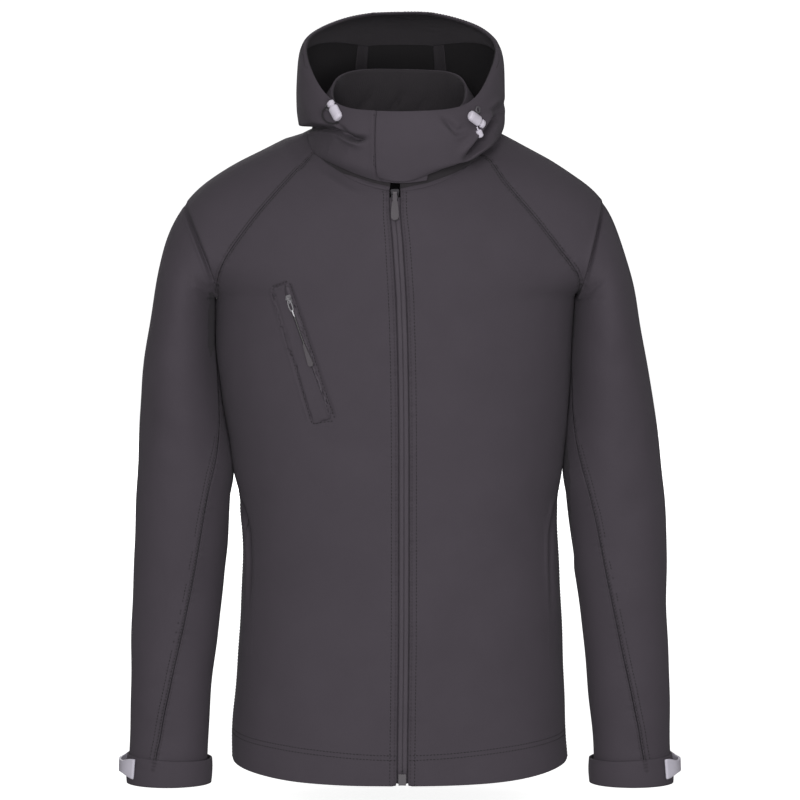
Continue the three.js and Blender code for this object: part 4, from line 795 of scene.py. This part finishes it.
# Each cloth point knows how far it is from the nearest sewing, and where along it
allSeams = list(seams.values()) + list(edges.values())
seamTree = kdtree.KDTree(sum(len(line) for line in allSeams))
seamPlace = []
for line in allSeams:
    for k, p in enumerate(line):
        seamTree.insert(p, len(seamPlace))
        seamPlace.append(k * seamPitch)
seamTree.balance()
for node, piece in cloth.items():
    if panels[node].get("material", shell) is tape:
        continue
    found = [seamTree.find(v.co) for v in piece.data.vertices]
    marks = {"seamDistance": [f[2] for f in found], "seamAlong": [seamPlace[f[1]] for f in found]}
    for name, values in marks.items():
        piece.data.attributes.new(name, "FLOAT", "POINT").data.foreach_set("value", values)
print("seam marks done")

# Stitches: short rounded lengths of thread laid along a line on the cloth


def stitchShape():
    mesh = bmesh.new()
    bmesh.ops.create_icosphere(mesh, subdivisions=1, radius=1.0)
    points = np.array([v.co[:] for v in mesh.verts])
    faces = [[v.index for v in f.verts] for f in mesh.faces]
    mesh.free()
    return points, faces


stitchPoints, stitchFaces = stitchShape()
sewing = {"length": 0.0027, "gap": 0.001, "width": 0.0011, "proud": 0.0}


def addMany(name, places, material, size):
    # Copies of one small rounded shape: places lists middle, direction and outward for each
    vertices, faces = [], []
    for middle, along, out in places:
        along = np.array(along) / np.linalg.norm(along)
        out = np.array(out) - along * np.dot(out, along)
        out /= np.linalg.norm(out)
        turn = np.stack([along * size[0], np.cross(out, along) * size[1], out * size[2]])
        base = len(vertices)
        vertices.extend((np.array(middle) + stitchPoints @ turn).tolist())
        faces.extend([[base + i for i in face] for face in stitchFaces])
    data = bpy.data.meshes.new(name)
    data.from_pydata(vertices, [], faces)
    data.materials.append(material)
    data.shade_smooth()
    piece = link(bpy.data.objects.new(name, data))
    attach(piece, "jacket")
    return piece


def onCloth(line, tree, offset):
    # The line moved sideways over the cloth by offset, towards the side that has cloth
    places = []
    for k, (p, away) in enumerate(zip(line, outward(np.array(line)))):
        p = Vector(p)
        away = Vector(away)
        ahead = Vector(line[min(k + 1, len(line) - 1)]) - Vector(line[max(k - 1, 0)])
        spot, normal, _, _ = tree.find_nearest(p)
        if normal.dot(away) < 0.2:
            normal = away
        side = ahead.cross(normal).normalized() * offset
        hits = [tree.find_nearest(p + s * side) for s in (1, -1)]
        reaches = [(hit[0] - (p + s * side)).length for hit, s in zip(hits, (1, -1))]
        places.append(hits[0][0] if reaches[0] <= reaches[1] else hits[1][0])
    return places


def stitchRow(line, tree, offset):
    path = soften(np.array([p[:] for p in onCloth(line, tree, offset)]), 2)
    spots = resample([Vector(p) for p in path], sewing["length"] + sewing["gap"])
    middles = (spots[:-1] + spots[1:]) / 2
    rows = []
    for a, b, middle, away in zip(spots[:-1], spots[1:], middles, outward(middles)):
        spot, normal, _, gap = tree.find_nearest(Vector(middle))
        if normal.dot(Vector(away)) < 0:
            normal = -normal
        if (b - a).dot(b - a) < 1e-10 or gap > 0.004:
            continue
        rows.append((spot + normal * sewing["proud"], b - a, normal))
    return rows


hems = {"heights": (-0.6585, -0.6635), "rise": 0.0125, "spots": 160, "parts": {
    "front_right": (-math.pi / 2, 0), "front_left": (0, math.pi / 2), "back": (math.pi / 2, 1.5 * math.pi)}}


def ringRow(tree, height, turns):
    # A line round the body at a height, rising to the sides as the hem does
    line = []
    for turn in turns:
        way = Vector((math.sin(turn), -math.cos(turn), 0))
        hit = tree.ray_cast(Vector((0, 0, height + hems["rise"] * way.x ** 2)) + way * 0.6, -way)
        if hit[0] is not None:
            line.append(hit[0])
    return line


stitchSize = (sewing["length"] / 2, sewing["width"] / 2, sewing["width"] / 2)
threads = {"raglan": [], "sleeve": [], "hem": [], "front": [], "hood": [], "side": []}
for side in sides:
    for face, panel in (("front", f"front_{side}"), ("back", "back")):
        line = seams[f"raglan_{face}_{side}"]
        threads["raglan"] += stitchRow(line, trees[panel], 0.0028)
        threads["raglan"] += stitchRow(line, trees[f"sleeve_upper_{side}"], 0.0028)
    for face in ("front", "back"):
        line = seams[f"sleeve_{face}_{side}"]
        threads["sleeve"] += stitchRow(line, trees[f"sleeve_upper_{side}"], 0.0018)
        threads["sleeve"] += stitchRow(line, trees[f"sleeve_upper_{side}"], 0.0068)
    threads["front"] += stitchRow(edges[side], trees[f"front_{side}"], 0.0078)
    threads["side"] += stitchRow(seams[f"side_{side}"], trees[f"front_{side}"], 0.0028)
    threads["hood"] += stitchRow(seams[f"hood_{side}"], trees[f"hood_{side}"], 0.003)
    threads["hood"] += stitchRow(seams[f"hood_{side}"], trees["hood_centre"], 0.003)
for height in hems["heights"]:
    for part, reach in hems["parts"].items():
        line = ringRow(trees[part], height, np.linspace(*reach, hems["spots"]))
        threads["hem"] += stitchRow(line, trees[part], 0)
threads["hood"] += stitchRow(rim, treeOf(hoodPieces), 0.0055)
# Rows drawn on the front: round the chest pocket, and a small box by the hood's flap
drawn = {
    "chest": ("front_right", [
        [(-0.1395, -0.1488), (-0.0958, -0.2952)], [(-0.0958, -0.2958), (-0.0722, -0.292)],
        [(-0.1398, -0.1472), (-0.1222, -0.1406)], [(-0.1202, -0.142), (-0.0713, -0.289)]]),
    "flap": ("hood_right", [
        [(-0.0285, -0.0035), (-0.0285, -0.0165)], [(-0.0285, -0.0035), (-0.0245, -0.0035)],
        [(-0.0285, -0.0165), (-0.0245, -0.0165)]]),
}
for name, (panel, lines) in drawn.items():
    threads[name] = []
    for start, end in lines:
        row = []
        for t in np.linspace(0, 1, 24):
            x, z = (1 - t) * np.array(start) + t * np.array(end)
            hit = trees[panel].ray_cast(Vector((x, -0.3, z)), Vector((0, 1, 0)))[0]
            if hit is not None:
                row.append(hit)
        threads[name] += stitchRow(row, trees[panel], 0)
for name, rows in threads.items():
    addMany(f"stitches_{name}", rows, hard["thread"], stitchSize)
print("stitches", {name: len(rows) for name, rows in threads.items()})

# Main zip: on each side a tape with a rounded rib over its coil, and the teeth's line where the ribs meet
zipRib = [
    (-0.0001, 0.0016), (0.0003, 0.0007), (0.0012, 0.00032), (0.0026, 0.0002), (0.004, 0.00042),
    (0.005, 0.001), (0.0054, 0.0021), (0.0056, 0.0031), (0.0125, 0.0031), (0.0125, 0.0037), (-0.0001, 0.0037)]
zipSpan = {
    "low": -0.6895, "top": -0.05, "step": 0.004, "teeth": 0.0017, "behind": 0.0024, "stop": -0.674,
    "fade": 0.005,
}


def zipMiddle(z):
    # The middle of the gap between the front edges at a height, and the front there
    found = []
    for side in sides:
        line = edges[side][np.argsort(edges[side][:, 2])]
        found.append([np.interp(z, line[:, 2], line[:, k]) for k in (0, 1)])
    return np.mean(found, axis=0)


def zipStrip(side):
    sign = sides[side]
    count = int((zipSpan["top"] - zipSpan["low"]) / zipSpan["step"])
    heights = np.linspace(zipSpan["low"], zipSpan["top"], count)
    places = []
    for z in heights:
        x, y = zipMiddle(z)
        back = zipSpan["behind"] * float(smoothStep((zipSpan["stop"] - z) / zipSpan["fade"]))
        places.append(Vector((x, y + back, z)))
    mesh = bmesh.new()
    rib = [Vector((sign * across, depth, 0)) for across, depth in zipRib]
    foot = end = mesh.faces.new([mesh.verts.new(places[0] + spot) for spot in rib])
    for here, there in zip(places[:-1], places[1:]):
        made = bmesh.ops.extrude_face_region(mesh, geom=[end])["geom"]
        if end is not foot:
            bmesh.ops.delete(mesh, geom=[end], context="FACES_ONLY")
        moving = [v for v in made if isinstance(v, bmesh.types.BMVert)]
        bmesh.ops.translate(mesh, verts=moving, vec=there - here)
        end = next(f for f in made if isinstance(f, bmesh.types.BMFace))
    bmesh.ops.recalc_face_normals(mesh, faces=mesh.faces)
    data = bpy.data.meshes.new(f"zip_tape_{side}_cloth")
    mesh.to_mesh(data)
    mesh.free()
    markUnsewn(data)
    cloth[f"zip_tape_{side}"] = dressCloth(data, meshPoints(data)[:, [0, 2]], zipCloth)


for side in sides:
    zipStrip(side)
teeth = []
for z in np.arange(-0.676, zipSpan["top"], zipSpan["teeth"]):
    x, y = zipMiddle(z)
    for sign in (-1, 1):
        lift = zipSpan["teeth"] / 2 if sign > 0 else 0
        teeth.append(((x + sign * 0.0006, y + 0.0013, z + lift), (1, 0, 0.12 * sign), (0, -1, 0)))
addMany("zip_teeth", teeth, hard["coilNylon"], (0.0008, 0.0006, 0.0005))

# Pieces that lie on a front: kept at their height over the creased panel
cadTrees = {name: BVHTree.FromPolygons([v.co for v in nodes[name].data.vertices],
                                       [f.vertices[:] for f in nodes[name].data.polygons])
            for name in ("front_right", "front_left")}


def layOn(node, panel, levels, material, rise=1.0):
    data = panelMesh(node, levels)
    data.name = node + "_cloth"
    points = meshPoints(data)
    uv = clothUv(points, node)
    laid = []
    for p, moved in zip(points, deform(points)):
        flatSpot, flatNormal, _, _ = cadTrees[panel].find_nearest(Vector(p))
        height = (Vector(p) - flatSpot).dot(flatNormal)
        spot, normal, _, _ = trees[panel].find_nearest(Vector(moved))
        laid.append((spot + normal * height * rise)[:])
    setPoints(data, np.array(laid))
    markUnsewn(data)
    cloth[node] = dressCloth(data, uv, material)
    trees[node] = treeOf([node])


layOn("chest_welt", "front_right", 3, shell)
layOn("chest_zip", "front_right", 2, zipCloth)
layOn("pocket_welt_right", "front_right", 2, shell, 0.12)
layOn("pocket_welt_left", "front_left", 2, shell, 0.12)

# Every cloth piece rides on the jacket's body, and the frame's own node is hidden
for node, piece in cloth.items():
    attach(piece, "jacket")
    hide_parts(node)

# Cuff tabs: the solids' own form, with the root drawn round to the front and a narrower, slanted free end
tab = {"middle": -0.69, "keep": 0.66, "wide": 1.25, "root": 1.66, "slant": 7.2, "from": 0.297, "over": 0.016,
       "rise": 0.0028}


def reachFrom(tree, centre, angle, z):
    # How far a cuff's outer face lies from its middle in a direction; 0 points to the front
    way = Vector((math.sin(angle), -math.cos(angle), 0))
    start = Vector((centre[0], centre[1], z)) + way * 0.12
    hit = tree.ray_cast(start, -way)[0]
    return 0.12 - (hit - start).length if hit is not None else 0.045


def addTab(side):
    node, sign = f"cuff_tab_{side}", sides[side]
    centre = (sign * 0.258, -0.017)
    data = panelMesh(node, 2)
    data.name = node + "_rubber"
    tree = trees[f"cuff_{side}"]
    moved = []
    for x, y, z in meshPoints(data):
        offX, offY = (x - centre[0]) * sign, y - centre[1]
        turn = math.atan2(offX, -offY) % (2 * math.pi)
        ahead = max(math.pi / 2 - turn, 0)
        z0 = min(max(z, -0.703), -0.678)
        newTurn = turn - (tab["root"] - 1) * ahead - ahead * tab["slant"] * (z - tab["middle"])
        height = math.hypot(offX, offY) - reachFrom(tree, centre, sign * turn, z0)
        reach = reachFrom(tree, centre, sign * newTurn, z0) + max(height, 0.0006)
        newX = centre[0] + sign * reach * math.sin(newTurn)
        newY = centre[1] - reach * math.cos(newTurn)
        share = float(smoothStep((abs(newX) - tab["from"]) / tab["over"]))
        width = tab["wide"] + (tab["keep"] - tab["wide"]) * share
        moved.append((newX, newY, tab["middle"] + (z - tab["middle"]) * width + tab["rise"]))
    setPoints(data, np.array(moved))
    data.materials.clear()
    data.materials.append(hard["tabRubber"])
    data.shade_smooth()
    piece = link(bpy.data.objects.new(data.name, data))
    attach(piece, "jacket")
    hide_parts(node)


for side in sides:
    addTab(side)

# The hood's cord: the route of its solid, in metres
cordPlan = {
    "route": [
        (-0.0783, -0.0793, 0.0479), (-0.08, -0.081, 0.0476), (-0.082, -0.0834, 0.0463),
        (-0.084, -0.0852, 0.0436), (-0.0848, -0.0862, 0.0396), (-0.0836, -0.087, 0.0352),
        (-0.0798, -0.0884, 0.0316), (-0.076, -0.0898, 0.0302), (-0.0726, -0.091, 0.0298),
        (-0.0694, -0.0924, 0.0304), (-0.0672, -0.0934, 0.0314)],
    "diameter": 0.0018, "steps": 40, "round": 12,
}


def smoothRoute(points, steps):
    # Evenly spaced points on a smooth curve through the route's points
    given = [Vector(p) for p in points]
    dense = [given[0]]
    for k in range(len(given) - 1):
        before = given[max(k - 1, 0)]
        after = given[min(k + 2, len(given) - 1)]
        a, b = given[k], given[k + 1]
        for t in (0.2, 0.4, 0.6, 0.8, 1.0):
            dense.append(0.5 * ((2 * a) + (b - before) * t + (2 * before - 5 * a + 4 * b - after) * t * t
                                + (3 * a - before - 3 * b + after) * t ** 3))
    total = sum((q - p).length for p, q in zip(dense[:-1], dense[1:]))
    return [Vector(p) for p in resample(dense, total / steps)], total


def addCord():
    path, length = smoothRoute(cordPlan["route"], cordPlan["steps"])
    radius = cordPlan["diameter"] / 2
    mesh = bmesh.new()
    ribs = mesh.loops.layers.uv.new("clothUv")
    rings = []
    up, last = Vector((0, 0, 1)), None
    for k, p in enumerate(path):
        ahead = (path[min(k + 1, len(path) - 1)] - path[max(k - 1, 0)]).normalized()
        across = ahead.cross(up if abs(ahead.dot(up)) < 0.98 else Vector((0, 1, 0))).normalized()
        if last is not None and across.dot(last) < 0:
            across = -across
        last = across
        rise = across.cross(ahead)
        turns = [2 * math.pi * i / cordPlan["round"] for i in range(cordPlan["round"])]
        ways = [across * math.cos(turn) + rise * math.sin(turn) for turn in turns]
        rings.append([mesh.verts.new(p + radius * way) for way in ways])
    for low, high in zip(rings[:-1], rings[1:]):
        for i in range(cordPlan["round"]):
            n = (i + 1) % cordPlan["round"]
            mesh.faces.new((low[i], low[n], high[n], high[i]))
    mesh.faces.new(rings[0])
    mesh.faces.new(list(reversed(rings[-1])))
    bmesh.ops.recalc_face_normals(mesh, faces=mesh.faces)
    mesh.verts.index_update()
    for face in mesh.faces:
        for loop in face.loops:
            k, i = divmod(loop.vert.index, cordPlan["round"])
            loop[ribs].uv = (i * 0.0005, k * length / cordPlan["steps"])
    data = bpy.data.meshes.new("hood_cord")
    mesh.to_mesh(data)
    mesh.free()
    markUnsewn(data)
    data.materials.append(cordCloth)
    data.shade_smooth()
    piece = link(bpy.data.objects.new("hood_cord", data))
    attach(piece, "jacket")
    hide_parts("hood_cord_right")
    print("cord", round(length, 4))


cordCloth = clothMaterial("cordBraid", dict(
    shellLook, pitch=0.0009, dark=(0.012, 0.011, 0.012), light=(0.035, 0.032, 0.036), weaveDepth=0.0002))
addCord()

# Hard pieces keep their solids, with the sharp edges taken off
hardNodes = {
    "cord_lock_right": ("lockPlastic", 0.0003), "cord_lock_left": ("lockPlastic", 0.0003),
    "cord_plunger_right": ("lockPlastic", 0.0003), "cord_plunger_left": ("lockPlastic", 0.0003),
    "cord_end_left": ("lockPlastic", 0.0003), "zip_slider": ("darkMetal", 0.0002),
    "chest_slider": ("steel", 0.0002), "zip_pull": ("pullRubber", 0.0003),
    "chest_pull": ("chestPull", 0.0003), "zip_stop": ("pullRubber", 0.0003),
    "eyelet_right": ("eyelet", 0.0001), "eyelet_left": ("eyelet", 0.0001),
}
pullParts = {"link": -0.1785, "strap": -0.2085}


def chestPullMaterial():
    # Metal link, strap and rubber grip, told apart by height; the strap's near-black is painted shade
    material, tree, shader = newMaterial("chestPull")
    place = tree.nodes.new("ShaderNodeTexCoord").outputs["Object"]
    parts = tree.nodes.new("ShaderNodeSeparateXYZ")
    tree.links.new(place, parts.inputs[0])
    grain = noise(tree, place, 800, 4, 0.6)
    grip = mixColour(tree, grain, moulded["pullRubber"]["dark"], moulded["pullRubber"]["light"])
    low = nodes["chest_pull"].matrix_world.translation.z
    strapShadeMask = maths(tree, "GREATER_THAN", parts.outputs[2], pullParts["strap"] - low)
    isLink = maths(tree, "GREATER_THAN", parts.outputs[2], pullParts["link"] - low)
    # the strap is coloured near-black as painted shade
    colour = mixColour(tree, strapShadeMask, grip, (0.022, 0.019, 0.022))
    colour = mixColour(tree, isLink, colour, moulded["steel"]["light"])
    tree.links.new(colour, shader.inputs["Base Color"])
    tree.links.new(maths(tree, "MULTIPLY_ADD", grain, 0.2, 0.4), shader.inputs["Roughness"])
    tree.links.new(maths(tree, "MULTIPLY", isLink, 0.6), shader.inputs["Metallic"])
    tree.links.new(bump(tree, grain, 0.00006, 0.5), shader.inputs["Normal"])
    return material


hard["chestPull"] = chestPullMaterial()
for node, (material, width) in hardNodes.items():
    piece = nodes[node]
    piece.data.materials.clear()
    piece.data.materials.append(hard[material])
    weld = piece.modifiers.new("weld", "WELD")
    weld.merge_threshold = 1e-5
    edge = piece.modifiers.new("edges", "BEVEL")
    edge.width = width
    edge.segments = 2
    edge.limit_method = "ANGLE"
    edge.angle_limit = math.radians(32)

# Studio: a round pale floor that bends up into a wall on all sides, and soft light from the front
studio = {"floor": -0.725, "radius": 8.0, "bend": 1.5, "height": 4.5, "parts": 64}


def addBackdrop():
    profile = [(0.5, studio["floor"]), (studio["radius"] - studio["bend"], studio["floor"])]
    for k in range(1, 13):
        turn = math.pi / 2 * k / 12
        profile.append((studio["radius"] - studio["bend"] + studio["bend"] * math.sin(turn),
                        studio["floor"] + studio["bend"] * (1 - math.cos(turn))))
    profile.append((studio["radius"], studio["height"]))
    mesh = bmesh.new()
    spots = [mesh.verts.new((reach, 0, z)) for reach, z in profile]
    line = [mesh.edges.new(pair) for pair in zip(spots[:-1], spots[1:])]
    bmesh.ops.spin(mesh, geom=spots + line, cent=(0, 0, 0), axis=(0, 0, 1), angle=2 * math.pi,
                   steps=studio["parts"], use_merge=True)
    middle = [e for e in mesh.edges if all(math.hypot(v.co.x, v.co.y) < 0.51 for v in e.verts)]
    bmesh.ops.holes_fill(mesh, edges=middle, sides=0)
    bmesh.ops.recalc_face_normals(mesh, faces=mesh.faces)
    bmesh.ops.reverse_faces(mesh, faces=mesh.faces)
    data = bpy.data.meshes.new("backdrop")
    mesh.to_mesh(data)
    mesh.free()
    data.shade_smooth()
    material, tree, shader = newMaterial("backdropPaper")
    shader.inputs["Base Color"].default_value = (0.9, 0.9, 0.9, 1)
    shader.inputs["Roughness"].default_value = 0.9
    shader.inputs["Emission Color"].default_value = (1, 1, 1, 1)
    shader.inputs["Emission Strength"].default_value = 0.85
    data.materials.append(material)
    backdrop = link(bpy.data.objects.new("backdrop", data))
    backdrop.visible_diffuse = backdrop.visible_glossy = backdrop.visible_shadow = False


addBackdrop()
lamps = [
    {"name": "key", "at": (-0.5, -4.6, 0.75), "size": 1.2, "power": 83},
    {"name": "fill", "at": (0.6, -4.6, -0.3), "size": 1.2, "power": 74},
    {"name": "top", "at": (0, -1.6, 2.3), "size": 2.0, "power": 10},
    {"name": "back", "at": (-0.6, 4.4, 0.9), "size": 2.0, "power": 70},
]
for lamp in lamps:
    light = bpy.data.lights.new(lamp["name"], "AREA")
    light.size = lamp["size"]
    light.energy = lamp["power"]
    holder = link(bpy.data.objects.new(lamp["name"], light))
    holder.location = lamp["at"]
    holder.rotation_euler = (Vector((0, 0, -0.25)) - holder.location).to_track_quat("-Z", "Y").to_euler()
scene.view_settings.view_transform = "Standard"
world = bpy.data.worlds.new("studio")
scene.world = world
world.use_nodes = True
world.node_tree.nodes["Background"].inputs["Color"].default_value = (1, 1, 1, 1)
world.node_tree.nodes["Background"].inputs["Strength"].default_value = 0.2
